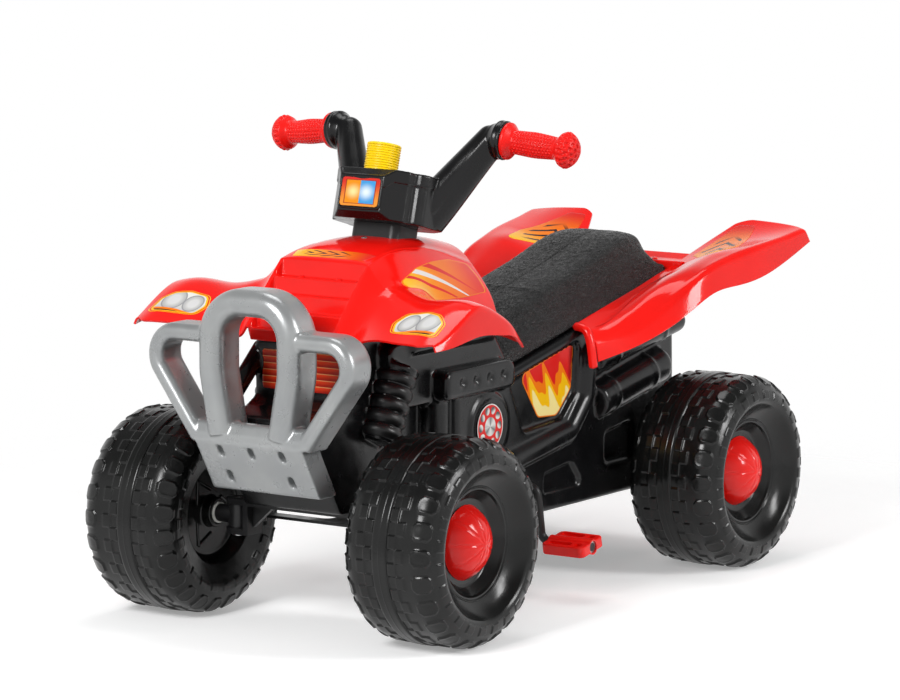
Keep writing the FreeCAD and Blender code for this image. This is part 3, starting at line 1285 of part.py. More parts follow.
def cover_block(grow):
    """Flat block of the chain cover, larger by a clearance all round."""
    front, rear = tunnel_ends()
    half, round_off = COVER_HALF + grow, 10 + grow
    outline = [(-half, front - 6 - grow, round_off), (half, front - 6 - grow, round_off),
               (half, rear + 4 + grow, round_off), (-half, rear + 4 + grow, round_off)]
    wire = rounded_wire(outline, lambda x, back: at(x, back, BELLY_UP))
    return Part.Face(wire).extrude(AXIS_Z * COVER_THICKNESS)


def chain_cover():
    """Plate that closes the chain tunnel from below, flush with the belly."""
    plate = cover_block(0.0)
    cuts = [bar(p - AXIS_Z * 2, p + AXIS_Z * 6, SCREW_RADIUS) for p in cover_screw_points()]
    cuts += [bar(p - AXIS_Z * 6, p, SCREW_HEAD_RADIUS + 0.4) for p in cover_screw_points()]
    return plate.cut(cuts)


def shock_absorber():
    """Moulded dummy shock absorber on the left of the nose: a rod with round coils and two cups."""
    top = at(COIL_X, 72, 345)
    foot = at(COIL_X, 27, 249)
    run = foot - top
    length = run.Length
    pitch = (length - 20) / COIL_RIBS
    corners = [(0, 0, 0), (0, COIL_RADIUS + 2, 3), (10, COIL_RADIUS + 2, 3)]
    for i in range(COIL_RIBS):
        start = 10 + i * pitch
        corners += [(start + 0.12 * pitch, COIL_RADIUS - 6, 2), (start + 0.34 * pitch, COIL_RADIUS, 4),
                    (start + 0.78 * pitch, COIL_RADIUS, 4)]
    corners += [(length - 9, COIL_RADIUS - 6, 2), (length - 8, COIL_RADIUS - 3, 1), (length, COIL_RADIUS - 6, 2),
                (length, 0, 0)]
    solid = revolved(corners)
    solid.Placement = FreeCAD.Placement(top, FreeCAD.Rotation(AXIS_X, run))
    return solid


def muffler(start, end, radius):
    """Rounded dummy muffler with two raised bands."""
    run = (end - start).normalize()
    length = (end - start).Length
    corners = [(0, 0, 0), (0, radius - 2, 6), (8, radius, 6), (length - 8, radius, 6), (length, radius - 4, 6),
               (length, 0, 0)]
    body = revolved(corners)
    bands = [revolved([(p, 0, 0), (p, radius + 1.6, 1.2), (p + 8, radius + 1.6, 1.2), (p + 8, 0, 0)])
             for p in (length * 0.16, length * 0.72)]
    solid = join([body] + bands)
    solid.Placement = FreeCAD.Placement(start, FreeCAD.Rotation(AXIS_X, run))
    return solid


def side_features():
    """Relief of the left side of the chassis that is added to the body."""
    disc = revolved([(BODY_HALF - 12, 0, 0), (BODY_HALF - 12, DISC_RADIUS + 4, 0),
                     (BODY_HALF - 4, DISC_RADIUS + 4, 4), (BODY_HALF + 5, DISC_RADIUS - 4, 5),
                     (BODY_HALF + 2, DISC_RADIUS - 14, 3), (BODY_HALF + 3, 0, 0)])
    disc.translate(at(0, DISC_BACK, DISC_UP))
    rail = side_prism([(138, 292, 10), (138, 331, 12), (304, 331, 12), (304, 292, 10)], 60, RAIL_X)
    rail = rail.makeFillet(6, [e for e in rail.Edges if abs(e.CenterOfMass.x - RAIL_X) < 0.01])
    column = capsule(at(84, 160, 172), at(84, 160, 306), 24)
    strut = capsule(at(80, 2, 364), at(80, -66, 304), 12)
    frame = bent_rod([at(102, 322, 186), at(102, 466, 209), at(102, 507, 252), at(102, 514, 312)], 22, 16)
    frame_ends = [Part.makeSphere(16, at(102, 322, 186)), Part.makeSphere(16, at(102, 514, 312))]
    low_muffler = muffler(at(103, 528, 243), at(103, 706, 278), 27)
    top_muffler = muffler(at(111, 522, 302), at(111, 745, 338), 17.5)
    return [disc, rail, column, strut, frame, low_muffler, top_muffler, shock_absorber()] + frame_ends


def side_recesses():
    """Relief of the left side of the chassis that is cut into the body."""
    edge = BODY_HALF + 1
    panel = side_prism([(352, 222, 10), (316, 296, 10), (360, 306, 8), (492, 334, 10), (486, 262, 14), (448, 228, 14)],
                       BODY_HALF - 9, edge)
    lower = side_prism([(402, 128, 8), (404, 158, 8), (474, 166, 12), (508, 128, 10)], BODY_HALF - 6, edge)
    rear = side_prism([(560, 150, 10), (560, 196, 10), (634, 206, 10), (634, 150, 10)], BODY_HALF - 6, edge)
    dimples = [Part.makeSphere(7, at(RAIL_X + 2.5, back, 312)) for back in (176, 209, 242, 275)]
    return [panel, lower, rear] + dimples


def chassis_shell():
    """Blow-moulded chassis with its nose, hump, side relief, chain tunnel and bores."""
    nose_low = (plate_back(178), 178, 0)
    nose_top = (plate_back(244), 244, 6)
    spine = side_prism([
        (-40, FRONT_BELLY_UP, 4), nose_low, nose_top, (-79, 262, 6), (-79, 284, 8), (-34, 294, 10), (-14, 306, 12),
        (-14, 378, 10), (24, 418, 12), (60, 424, 0), (297, 424, 14), (321, seat_up(321) + 49.803, 6), (321, seat_up(321), 0),
        (SEAT_END_BACK, seat_up(SEAT_END_BACK), 0), (SEAT_END_BACK + 1, DECK_UP, 0), (784, DECK_UP, 0),
        (784, 372, 10), (758, 262, 20), (750, 126, 18), (728, BELLY_UP, 14), (232, BELLY_UP, 30),
        (172, FRONT_BELLY_UP, 26)], -SPINE_HALF, SPINE_HALF)
    body = side_prism([(184, 166, 24), (184, 300, 14), (321, seat_up(321) - BODY_DROP, 0), (742, seat_up(742) - BODY_DROP, 14),
                       (746, 262, 20), (740, 128, 18), (720, BELLY_UP, 14), (236, BELLY_UP, 30)],
                      -BODY_HALF, BODY_HALF)
    body = body.makeFillet(9, [e for e in body.Edges if abs(abs(e.CenterOfMass.x) - BODY_HALF) < 0.01])
    shoulder = side_prism([(52, 288, 14), (40, 376, 16), (290, 366, 16), (318, 330, 12), (318, 288, 0)],
                          -SHOULDER_HALF, SHOULDER_HALF)
    hump_wires = []
    for back, half in hood_stations()[3:]:
        inner = inset_points(full_section(half), COWL_WALL + HUMP_GAP)
        hump_wires.append(solid_section(inner, back, 360))
    last_back, last_half = hood_stations()[-1]
    lowered = [(x * 0.97, up - 5) for x, up in inset_points(full_section(last_half), COWL_WALL + HUMP_GAP)]
    hump_wires.append(solid_section(lowered, last_back + 9, 360))
    hump = Part.makeLoft(hump_wires, True, False)
    low, _ = collar_level()
    pad = Part.Face(rounded_wire(collar_outline(-1), lambda x, y: Vector(x, y, low - PAD_DEPTH))).extrude(
        AXIS_Z * PAD_DEPTH)
    room = Part.Face(rounded_wire(collar_outline(0.6), lambda x, y: Vector(x, y, low))).extrude(AXIS_Z * 200)
    left = side_features()
    solid = spine.fuse([body, shoulder, hump, cowl_post()] + left + [mirrored(s) for s in left])
    solid = solid.cut(steering_place(room)).fuse(steering_place(pad))
    recesses = side_recesses()
    front, rear = tunnel_ends()
    tunnel = side_prism([(front, BELLY_UP - 20, 0), (front, TUNNEL_UP, 20), (rear, TUNNEL_UP, 20),
                         (rear, BELLY_UP - 20, 0)], -TUNNEL_HALF, TUNNEL_HALF)
    cuts = recesses + [mirrored(s) for s in recesses] + [tunnel, cover_block(COVER_PLAY)]
    for back, up in ((crank_centre(), CRANK_UP), (WHEELBASE, AXLE_UP)):
        cuts.append(bar(at(-200, back, up), at(200, back, up), AXLE_RADIUS + 2))
        for side in (-1, 1):
            end = BODY_HALF - BUSH_LENGTH
            cuts.append(bar(at(side * end, back, up), at(side * 200, back, up), BUSH_RADIUS))
            cuts.append(bar(at(side * BODY_HALF, back, up), at(side * 200, back, up), BUSH_FLANGE_RADIUS + 3))
    foot = (FRONT_BELLY_UP - STEER_UP) / math.cos(RAKE)
    cuts.append(steering_place(bar(Vector(0, 0, foot - 40), Vector(0, 0, 60), AXLE_RADIUS + 2)))
    cuts.append(steering_place(bar(Vector(0, 0, foot + 8), Vector(0, 0, foot + 8 + BUSH_LENGTH), BUSH_RADIUS)))
    for p in cowl_screw_points():
        cuts.append(bar(p - AXIS_Z * 22, p, SCREW_RADIUS))
    for p in fender_screw_points():
        cuts.append(bar(p - AXIS_Z * 26, p, SCREW_RADIUS))
    for p in beam_bolt_points() + cover_screw_points():
        cuts.append(bar(p, p + AXIS_Z * 26, SCREW_RADIUS))
    for x, up in bumper_screw_places():
        p = at(x, plate_back(up), up)
        cuts.append(bar(p - AXIS_Y * 6, p + AXIS_Y * 20, SCREW_RADIUS))
    return solid.cut(cuts)


def save(name, shape):
    """Write one node as a STEP file."""
    shape.exportStep("parts/" + name + ".step")


def main():
    """Build every node and write it."""
    os.makedirs("parts", exist_ok=True)
    blank = wheel_blank()
    bored = wheel_bored(blank)
    bushes = wheel_bushes()
    cap = hub_cap()
    _, crank_phase, axle_phase = chain_pins()
    nuts = axle_nut(HUB_OUTER_FACE + BUSH_FLANGE, 0)

    save("chassis_shell", chassis_shell())
    save("front_cowl", front_cowl())
    save("rear_fender", rear_fender())
    save("seat", seat())
    save("bumper", bumper())
    save("front_axle_beam", front_axle_beam())
    save("kingpins", kingpins())
    save("steering_collar", steering_collar())
    save("column_bush", column_bush())
    save("crank_bushes", both_sides(side_bush(crank_centre(), CRANK_UP)))
    save("rear_axle_bushes", both_sides(side_bush(WHEELBASE, AXLE_UP)))
    save("drive_chain", drive_chain())
    save("chain_cover", chain_cover())
    save("cowl_screws", down_screws(cowl_screw_points(), 20))
    save("fender_screws", down_screws(fender_screw_points(), 24))
    save("bumper_screws", bumper_screws())
    save("cover_screws", up_screws(cover_screw_points(), 22))
    save("beam_bolts", up_screws(beam_bolt_points(), 24))

    save("handlebar", handlebar())
    left_grip = grip()
    save("grip_left", steering_place(left_grip))
    save("grip_right", steering_place(mirrored(left_grip)))
    save("console_panel", console_panel())
    save("steering_column", steering_column())
    save("handlebar_bolt", handlebar_bolt())
    save("horn_bellows", horn_bellows())
    save("horn_cap", horn_cap())

    for name, side in (("left", 1), ("right", -1)):
        turn = (lambda s: s) if side > 0 else mirrored
        save("knuckle_" + name, turn(knuckle()))
        save("stub_axle_" + name, turn(stub_axle()))
        save("axle_nut_front_" + name, turn(nuts))
        save("rod_clip_" + name, turn(rod_clip()))
        save("wheel_front_" + name, set_wheel(bored, 0, side))
        save("hub_cap_front_" + name, set_wheel(cap, 0, side))
        save("wheel_bushes_front_" + name, set_wheel(bushes, 0, side))
        save("hub_cap_rear_" + name, set_wheel(cap, WHEELBASE, side))
        save("pedal_" + name, pedal(side))
        save("pedal_clip_" + name, pedal_clip(side))
    save("track_rod", track_rod())

    save("wheel_rear_left", set_wheel(wheel_driven(blank), WHEELBASE, 1))
    save("wheel_rear_right", set_wheel(bored, WHEELBASE, -1))
    save("wheel_bushes_rear_right", set_wheel(bushes, WHEELBASE, -1))
    save("rear_axle", rear_axle())
    save("rear_sprocket", sprocket(AXLE_TEETH, axle_phase, WHEELBASE, AXLE_UP, AXLE_RADIUS))
    save("drive_pin", drive_pin())
    save("axle_nuts_rear", axle_nuts_rear())
    save("axle_spacers", axle_spacers())
    save("crankshaft", crankshaft())
    save("chainwheel", sprocket(CRANK_TEETH, crank_phase, crank_centre(), CRANK_UP, AXLE_RADIUS))


main()
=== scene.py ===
"""Dressed pedal quad bike for a child: fine moulded skins, finishes, printed labels, stage and camera.

Lengths are millimetres until a mesh is made. +Z is up, -Y is the front and +X is the rider's left.
"back" is a distance behind the front axle, "up" a height above the ground.
"""

import json
import logging
import math
from dataclasses import dataclass, replace
from enum import Enum
from typing import Any, Callable, Protocol, Sequence

import bmesh
import bpy
import numpy as np
from mathutils import Matrix, Vector

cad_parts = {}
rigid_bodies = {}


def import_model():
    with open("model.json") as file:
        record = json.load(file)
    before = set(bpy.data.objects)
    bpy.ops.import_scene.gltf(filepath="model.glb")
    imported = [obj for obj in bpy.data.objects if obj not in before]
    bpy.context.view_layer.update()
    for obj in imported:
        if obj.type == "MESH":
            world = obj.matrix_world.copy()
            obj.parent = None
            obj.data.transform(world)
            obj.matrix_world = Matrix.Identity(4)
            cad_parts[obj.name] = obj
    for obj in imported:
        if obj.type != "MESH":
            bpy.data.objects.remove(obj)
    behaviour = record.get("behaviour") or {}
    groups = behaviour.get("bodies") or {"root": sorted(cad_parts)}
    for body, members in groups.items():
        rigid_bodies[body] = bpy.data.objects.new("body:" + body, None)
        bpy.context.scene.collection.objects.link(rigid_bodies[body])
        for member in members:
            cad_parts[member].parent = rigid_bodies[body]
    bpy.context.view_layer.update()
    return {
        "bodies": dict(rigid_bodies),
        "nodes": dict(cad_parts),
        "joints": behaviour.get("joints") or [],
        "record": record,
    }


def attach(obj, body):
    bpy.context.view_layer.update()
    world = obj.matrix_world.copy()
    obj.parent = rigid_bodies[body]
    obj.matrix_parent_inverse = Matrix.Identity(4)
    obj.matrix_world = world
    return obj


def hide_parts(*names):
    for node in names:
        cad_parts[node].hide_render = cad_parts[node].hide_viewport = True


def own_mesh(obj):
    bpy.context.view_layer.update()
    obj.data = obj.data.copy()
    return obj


LOG = logging.getLogger("quad_bike")
MM = 0.001
FRONT_AXLE_Y = -376.0
TURN = 2.0 * math.pi
UPWARDS = (0.0, 0.0, 1.0)
MIRROR = np.array([-1.0, 1.0, 1.0])
Array = np.ndarray
Colour = tuple[float, float, float]
Corners = Sequence[tuple[float, float, float]]
Carrier = Callable[[Array, Array], Array]


class Side(Enum):
    """Side of the bike, as the sign of its X."""

    LEFT = 1
    RIGHT = -1

    @property
    def word(self) -> str:
        """The side in the name of a piece."""
        return self.name.lower()


class Motif(Enum):
    """Printed design of a label, as the name of the method that draws it."""

    LAMP = "lamp"
    SWEEP = "sweep"
    CHEVRON = "chevron"
    FLAME = "flame"
    BOLTS = "bolts"
    RIBS = "ribs"
    BEACON = "beacon"


# Numbers and curves


def smooth(low: float, high: float, value: Array) -> Array:
    """Rise from 0 at low to 1 at high along a cubic that is level at both ends."""
    share = np.clip((value - low) / (high - low), 0.0, 1.0)
    return share * share * (3.0 - 2.0 * share)


def bump_at(value: Array, centre: float, width: float) -> Array:
    """Bell curve of height 1 about a centre."""
    return np.exp(-(((value - centre) / width) ** 2))


def unit(vectors: Array) -> Array:
    """The same directions with length 1."""
    return vectors / np.maximum(np.linalg.norm(vectors, axis=-1, keepdims=True), 1e-9)


def full_turn(count: int) -> Array:
    """Angles of a whole turn without the last, which is the first again."""
    return np.linspace(0.0, TURN, count, endpoint=False)


def spline(knots: Sequence[float], values: Any, places: Array) -> Array:
    """Natural cubic spline through rows of values.

    Args:
        knots: Rising places of the rows.
        values: One row of any shape for each knot.
        places: Where the spline is read.

    Returns:
        One row for each place; the second derivatives solve the usual three-term equations.
    """
    knot = np.asarray(knots, float)
    rows = np.asarray(values, float)
    flat = rows.reshape(len(knot), -1)
    gap = np.diff(knot)
    inner = np.arange(1, len(knot) - 1)
    matrix = np.eye(len(knot))
    matrix[inner, inner - 1] = gap[:-1]
    matrix[inner, inner] = 2.0 * (gap[:-1] + gap[1:])
    matrix[inner, inner + 1] = gap[1:]
    right = np.zeros_like(flat)
    right[1:-1] = 6.0 * np.diff(np.diff(flat, axis=0) / gap[:, None], axis=0)
    bend = np.linalg.solve(matrix, right)
    where = np.asarray(places, float).ravel()
    span = np.clip(np.searchsorted(knot, where, side="right") - 1, 0, len(knot) - 2)
    before = ((knot[span + 1] - where) / gap[span])[:, None]
    after = 1.0 - before
    square = (gap[span] ** 2 / 6.0)[:, None]
    read = before * flat[span] + after * flat[span + 1]
    read += (before**3 - before) * square * bend[span] + (after**3 - after) * square * bend[span + 1]
    return read.reshape(np.shape(places) + rows.shape[1:])


def rounded_line(corners: Corners, step: float, closed: bool = False) -> Array:
    """Line through corners (u, v, radius), with an arc at each corner that has a radius.

    Args:
        corners: Corner places and radii.
        step: Longest distance between points on an arc.
        closed: Whether the last corner joins the first.

    Returns:
        Points of the line, one row each.
    """
    places = np.array([corner[:2] for corner in corners], float)
    runs = []
    for i, (_, _, radius) in enumerate(corners):
        here = places[i]
        if radius <= 0 or (not closed and i in (0, len(corners) - 1)):
            runs.append(here[None])
            continue
        back = unit(places[i - 1] - here)
        ahead = unit(places[(i + 1) % len(corners)] - here)
        half = math.acos(max(-1.0, min(1.0, float(back @ ahead)))) / 2.0
        centre = here + unit(back + ahead) * radius / math.sin(half)
        start = here + back * radius / math.tan(half) - centre
        end = here + ahead * radius / math.tan(half) - centre
        turn = math.pi - 2.0 * half
        share = np.linspace(0.0, 1.0, max(4, math.ceil(turn * radius / step) + 1))[:, None]
        arc = np.sin((1 - share) * turn) * start + np.sin(share * turn) * end
        runs.append(centre + arc / math.sin(turn))
    return np.concatenate(runs)


def line_length(line: Array) -> Array:
    """Distance along a line at each of its points."""
    return np.concatenate([[0.0], np.cumsum(np.linalg.norm(np.diff(line, axis=0), axis=1))])


def resample(line: Array, places: Array) -> Array:
    """Points of a line at given distances along it."""
    along = line_length(line)
    return np.stack([np.interp(places, along, line[:, k]) for k in range(line.shape[1])], axis=-1)


def evenly(line: Array, step: float) -> Array:
    """The same line with points about one step apart."""
    total = line_length(line)[-1]
    return resample(line, np.linspace(0.0, total, max(2, round(total / step) + 1)))


def ring_through(corners: Corners, step: float) -> Array:
    """Closed line through rounded corners, with points about one step apart."""
    ring = rounded_line(corners, 1.0, True)
    return evenly(np.concatenate([ring, ring[:1]]), step)[:-1]


def line_normals(line: Array) -> Array:
    """Unit normals on the left of a plane line, from central differences."""
    along = unit(np.gradient(line, axis=0))
    return np.stack([-along[:, 1], along[:, 0]], axis=-1)


def block_mask(u: Array, v: Array, half_u: float, half_v: float, cut: float, soft: float) -> Array:
    """Raised block with cut corners: 1 inside, 0 outside, with a soft edge.

    Args:
        u: Distance from the block's middle one way.
        v: Distance from the block's middle the other way.
        half_u: Half length along u.
        half_v: Half length along v.
        cut: How much the corners are cut off.
        soft: Width of the edge.

    Returns:
        The mask, from the largest of the distances to the sides and to the cut corners.
    """
    out = np.maximum(np.abs(u) - half_u, np.abs(v) - half_v)
    out = np.maximum(out, (np.abs(u) + np.abs(v) - half_u - half_v + cut) / math.sqrt(2.0))
    return 1.0 - smooth(-soft / 2.0, soft / 2.0, out)


def hex_distance(u: Array, v: Array, pitch: float) -> Array:
    """Distance to the nearest point of a hexagon lattice.

    Args:
        u: Distance along the lattice's rows.
        v: Distance across them.
        pitch: Distance between neighbours.

    Returns:
        The smaller of the distances to the two oblong lattices that make up the hexagon lattice.
    """
    tall = pitch * math.sqrt(3.0)
    found = []
    for shift in (0.0, 0.5):
        one, two = u / pitch - shift, v / tall - shift
        found.append(np.hypot((one - np.round(one)) * pitch, (two - np.round(two)) * tall))
    return np.minimum(*found)


def wrinkles(u: Array, v: Array, pitch: float, seed: int) -> Array:
    """Leather wrinkles: creases where smooth seeded noise passes its middle value.

    Args:
        u: Distance one way.
        v: Distance the other way.
        pitch: Size of the lattice whose random values are blended by cubic steps.
        seed: Start of the random values.

    Returns:
        0 in the creases and 1 on the tops between them.
    """
    size = 256
    table = np.random.default_rng(seed).random((size, size))
    i, j = np.floor(u / pitch).astype(int), np.floor(v / pitch).astype(int)
    s, t = smooth(0.0, 1.0, u / pitch - i), smooth(0.0, 1.0, v / pitch - j)
    i, j, i2, j2 = i % size, j % size, (i + 1) % size, (j + 1) % size
    near = table[i, j] * (1.0 - s) + table[i2, j] * s
    far = table[i, j2] * (1.0 - s) + table[i2, j2] * s
    return smooth(0.0, 0.22, np.abs(near * (1.0 - t) + far * t - 0.5))


# Surfaces through sections


def flattened(first: Array, second: Array) -> tuple[Array, Array, tuple[int, ...]]:
    """Two arrays, spread over each other, as plain rows, and the shape they had."""
    first, second = np.broadcast_arrays(first, second)
    return first.ravel(), second.ravel(), first.shape


def lofted(control: Array, knots: Sequence[float], share: Array) -> Array:
    """Points (x, up) at a share of the way across, by a spline through each section's own points."""
    return np.einsum("nk,nkc->nc", spline(knots, np.eye(len(knots)), share), control)


def rolled_edge(start: Array, top: Array, foot: Array, knee: float, rows: tuple[int, int]) -> Array:
    """Turn from a surface over a ridge and down to a lower edge.

    Args:
        start: Last points of the surface.
        top: Corners that the turn rounds off.
        foot: Points of the lower edge.
        knee: Share of the way down at which the turn ends.
        rows: Points on the turn and on the straight part below it.

    Returns:
        A parabola from start to knee with its corner at top, then a straight part, for each point.
    """
    bend = top + (foot - top) * knee
    t = np.linspace(0.0, 1.0, rows[0])[None, :, None]
    curve = (1 - t) ** 2 * start[:, None] + 2 * t * (1 - t) * top[:, None] + t**2 * bend[:, None]
    drop = np.linspace(0.0, 1.0, rows[1])[None, 1:, None]
    straight = bend[:, None] + drop * (foot - bend)[:, None]
    return np.concatenate([curve[:, 1:], straight], axis=1)


def height_over(lines: Array, x: Array) -> Array:
    """Height of surface lines that run outwards, where each passes its own x.

    Args:
        lines: Points of the lines, one line in each row.
        x: One distance from the middle plane for each line.

    Returns:
        Heights read between the two points on either side of x.
    """
    order = (lines[..., 0] < x[:, None]).sum(axis=1).clip(1, lines.shape[1] - 1)
    pick = np.arange(len(order))
    low, high = lines[pick, order - 1], lines[pick, order]
    part = ((x - low[:, 0]) / np.maximum(high[:, 0] - low[:, 0], 1e-6)).clip(0.0, 1.0)
    return low[:, 2] + part * (high[:, 2] - low[:, 2])


# Places


def in_bike(x: Any, back: Any, up: Any) -> Array:
    """Points of the bike from distances to the middle plane, the front axle and the ground."""
    x, back, up = np.broadcast_arrays(x, back, up)
    return np.stack([x, back + FRONT_AXLE_Y, up], axis=-1).astype(float)


@dataclass(frozen=True)
class SteeringFrame:
    """Frame of the steering column: its z axis runs up the raked column."""

    back: float = 172.0
    up: float = 505.0
    rake: float = 15.0

    def axis(self) -> tuple[float, float, float]:
        """Direction of the column in the bike."""
        turn = math.radians(self.rake)
        return 0.0, math.sin(turn), math.cos(turn)

    def place(self, points: Array) -> Array:
        """Carry points from the column's frame into the bike."""
        up_y, up_z = self.axis()[1:]
        axes = np.array([(1.0, 0.0, 0.0), (0.0, up_z, -up_y), (0.0, up_y, up_z)])
        return points @ axes + np.array([0.0, self.back + FRONT_AXLE_Y, self.up])


STEERING = SteeringFrame()


# Meshes


@dataclass
class Skin:
    """Quads on a grid of points, rows by columns, with the values that its finish reads."""

    points: Array
    wrap_rows: bool = False
    wrap_columns: bool = False
    keep: Array | None = None
    uv: Array | None = None
    rim: Array | None = None
    flip: bool = False

    def quads(self) -> Array:
        """Corner indices of the quads.

        Returns:
            Four indices for each quad that is kept, in the order that gives its outer side.
        """
        rows, columns = self.points.shape[:2]
        i = np.arange(rows if self.wrap_rows else rows - 1)
        j = np.arange(columns if self.wrap_columns else columns - 1)
        i, j = np.meshgrid(i, j, indexing="ij")
        below, right = (i + 1) % rows, (j + 1) % columns
        corners = [i * columns + j, i * columns + right, below * columns + right, below * columns + j]
        found = np.stack(corners, axis=-1)
        found = found[self.keep] if self.keep is not None else found.reshape(-1, 4)
        return found[:, ::-1] if self.flip else found

    def facing(self, way: Sequence[float]) -> "Skin":
        """Turn the quads so that on the whole they look a given way.

        Args:
            way: Direction in the bike.

        Returns:
            The skin itself.
        """
        corner = self.points.reshape(-1, 3)[self.quads()]
        normal = np.cross(corner[:, 2] - corner[:, 0], corner[:, 3] - corner[:, 1]).sum(axis=0)
        if float(normal @ np.asarray(way, float)) < 0.0:
            self.flip = not self.flip
        return self

    def mirrored(self) -> "Skin":
        """The same skin on the other side of the middle plane."""
        return replace(self, points=self.points * MIRROR, flip=not self.flip)


def add_object(name: str, data: Any) -> bpy.types.Object:
    """New object at the origin of the scene.

    Args:
        name: Its name.
        data: Its mesh, lamp or camera.

    Returns:
        The object.
    """
    made = bpy.data.objects.new(name, data)
    bpy.context.scene.collection.objects.link(made)
    return made


def modify(piece: bpy.types.Object, name: str, kind: str, **settings: Any) -> None:
    """Add a modifier to a piece.

    Args:
        piece: The piece.
        name: Name of the modifier.
        kind: Its type.
        settings: Its settings by name.
    """
    made = piece.modifiers.new(name, kind)
    for key, value in settings.items():
        setattr(made, key, value)


def make_piece(name: str, skins: Sequence[Skin], closed: bool = False,
               sharp: float = 180.0) -> bpy.types.Object:
    """Put skins into one mesh object at the origin.

    Args:
        name: Name of the piece.
        skins: Skins in millimetres; points that coincide are joined.
        closed: Whether the skins close a body, whose faces are then turned outwards.
        sharp: Angle in degrees above which an edge is shaded sharp.

    Returns:
        The new object.
    """
    points = np.concatenate([skin.points.reshape(-1, 3) for skin in skins]) * MM
    sizes = np.cumsum([0] + [skin.points.shape[0] * skin.points.shape[1] for skin in skins])
    quads = np.concatenate([skin.quads() + start for skin, start in zip(skins, sizes)])
    mesh = bpy.data.meshes.new(name)
    mesh.vertices.add(len(points))
    mesh.vertices.foreach_set("co", points.astype(np.float32).ravel())
    mesh.loops.add(quads.size)
    mesh.loops.foreach_set("vertex_index", quads.astype(np.int32).ravel())
    mesh.polygons.add(len(quads))
    mesh.polygons.foreach_set("loop_start", np.arange(0, quads.size, 4, dtype=np.int32))
    mesh.update(calc_edges=True)
    if all(skin.uv is not None for skin in skins):
        uv = np.concatenate([skin.uv.reshape(-1, 2) for skin in skins])[quads.ravel()]
        mesh.uv_layers.new(name="label").data.foreach_set("uv", uv.astype(np.float32).ravel())
    if all(skin.rim is not None for skin in skins):
        rim = np.concatenate([skin.rim.ravel() for skin in skins])
        mesh.attributes.new("rim", "FLOAT", "POINT").data.foreach_set("value", rim.astype(np.float32))
    work = bmesh.new()
    work.from_mesh(mesh)
    bmesh.ops.remove_doubles(work, verts=work.verts, dist=2e-5)
    bmesh.ops.dissolve_degenerate(work, edges=work.edges, dist=1e-6)
    if closed:
        bmesh.ops.recalc_face_normals(work, faces=work.faces)
    work.to_mesh(mesh)
    work.free()
    mesh.polygons.foreach_set("use_smooth", np.ones(len(mesh.polygons), bool))
    if sharp < 180.0:
        mesh.set_sharp_from_angle(angle=math.radians(sharp))
    mesh.update()
    return add_object(name, mesh)


def thicken(piece: bpy.types.Object, wall: float, edge: float = 0.0) -> None:
    """Give an open skin its wall inwards.

    Args:
        piece: The skin.
        wall: Thickness of the wall.
        edge: Width of the rounding along the rim, if any.
    """
    modify(piece, "wall", "SOLIDIFY", thickness=wall * MM, offset=-1.0, use_even_offset=False)
    if edge > 0.0:
        modify(piece, "edges", "BEVEL", width=edge * MM, segments=2, limit_method="ANGLE",
               angle_limit=math.radians(50.0), use_clamp_overlap=True)


def capped(rings: Array) -> Array:
    """Rings with their middle points added at both ends, so that the body is closed."""
    ends = [np.repeat(rings[k].mean(axis=0)[None, None], rings.shape[1], axis=1) for k in (0, -1)]
    return np.concatenate([ends[0], rings, ends[1]])


def closed_tube(path: Array, radii: Array, count: int = 24) -> Skin:
    """Round tube along a path, closed to a point at both ends.

    Args:
        path: Points of the middle line.
        radii: Radius at each point.
        count: Points round the tube.

    Returns:
        Rings square to the path, whose axes are carried along it without twist about a fixed side.
    """
    run = unit(np.gradient(path, axis=0))
    side = unit(np.cross(run, np.array([0.13, 0.21, 0.97])))
    over = np.cross(run, side)
    angle = full_turn(count)
    ring = side[:, None] * np.cos(angle)[None, :, None] + over[:, None] * np.sin(angle)[None, :, None]
    return Skin(capped(path[:, None] + ring * radii[:, None, None]), wrap_columns=True)


# Shader graphs


@dataclass(frozen=True)
class Term:
    """Output of a shader node that can be used in sums."""

    graph: "Graph"
    socket: Any

    def __add__(self, other: Any) -> "Term":
        """Sum with a number or a term."""
        return self.graph.calc("ADD", self, other)

    def __sub__(self, other: Any) -> "Term":
        """Difference to a number or a term."""
        return self.graph.calc("SUBTRACT", self, other)

    def __rsub__(self, other: float) -> "Term":
        """Difference of a number to this."""
        return self.graph.calc("SUBTRACT", other, self)

    def __mul__(self, other: Any) -> "Term":
        """Product with a number or a term."""
        return self.graph.calc("MULTIPLY", self, other)

    def __abs__(self) -> "Term":
        """Value without its sign."""
        return self.graph.calc("ABSOLUTE", self)


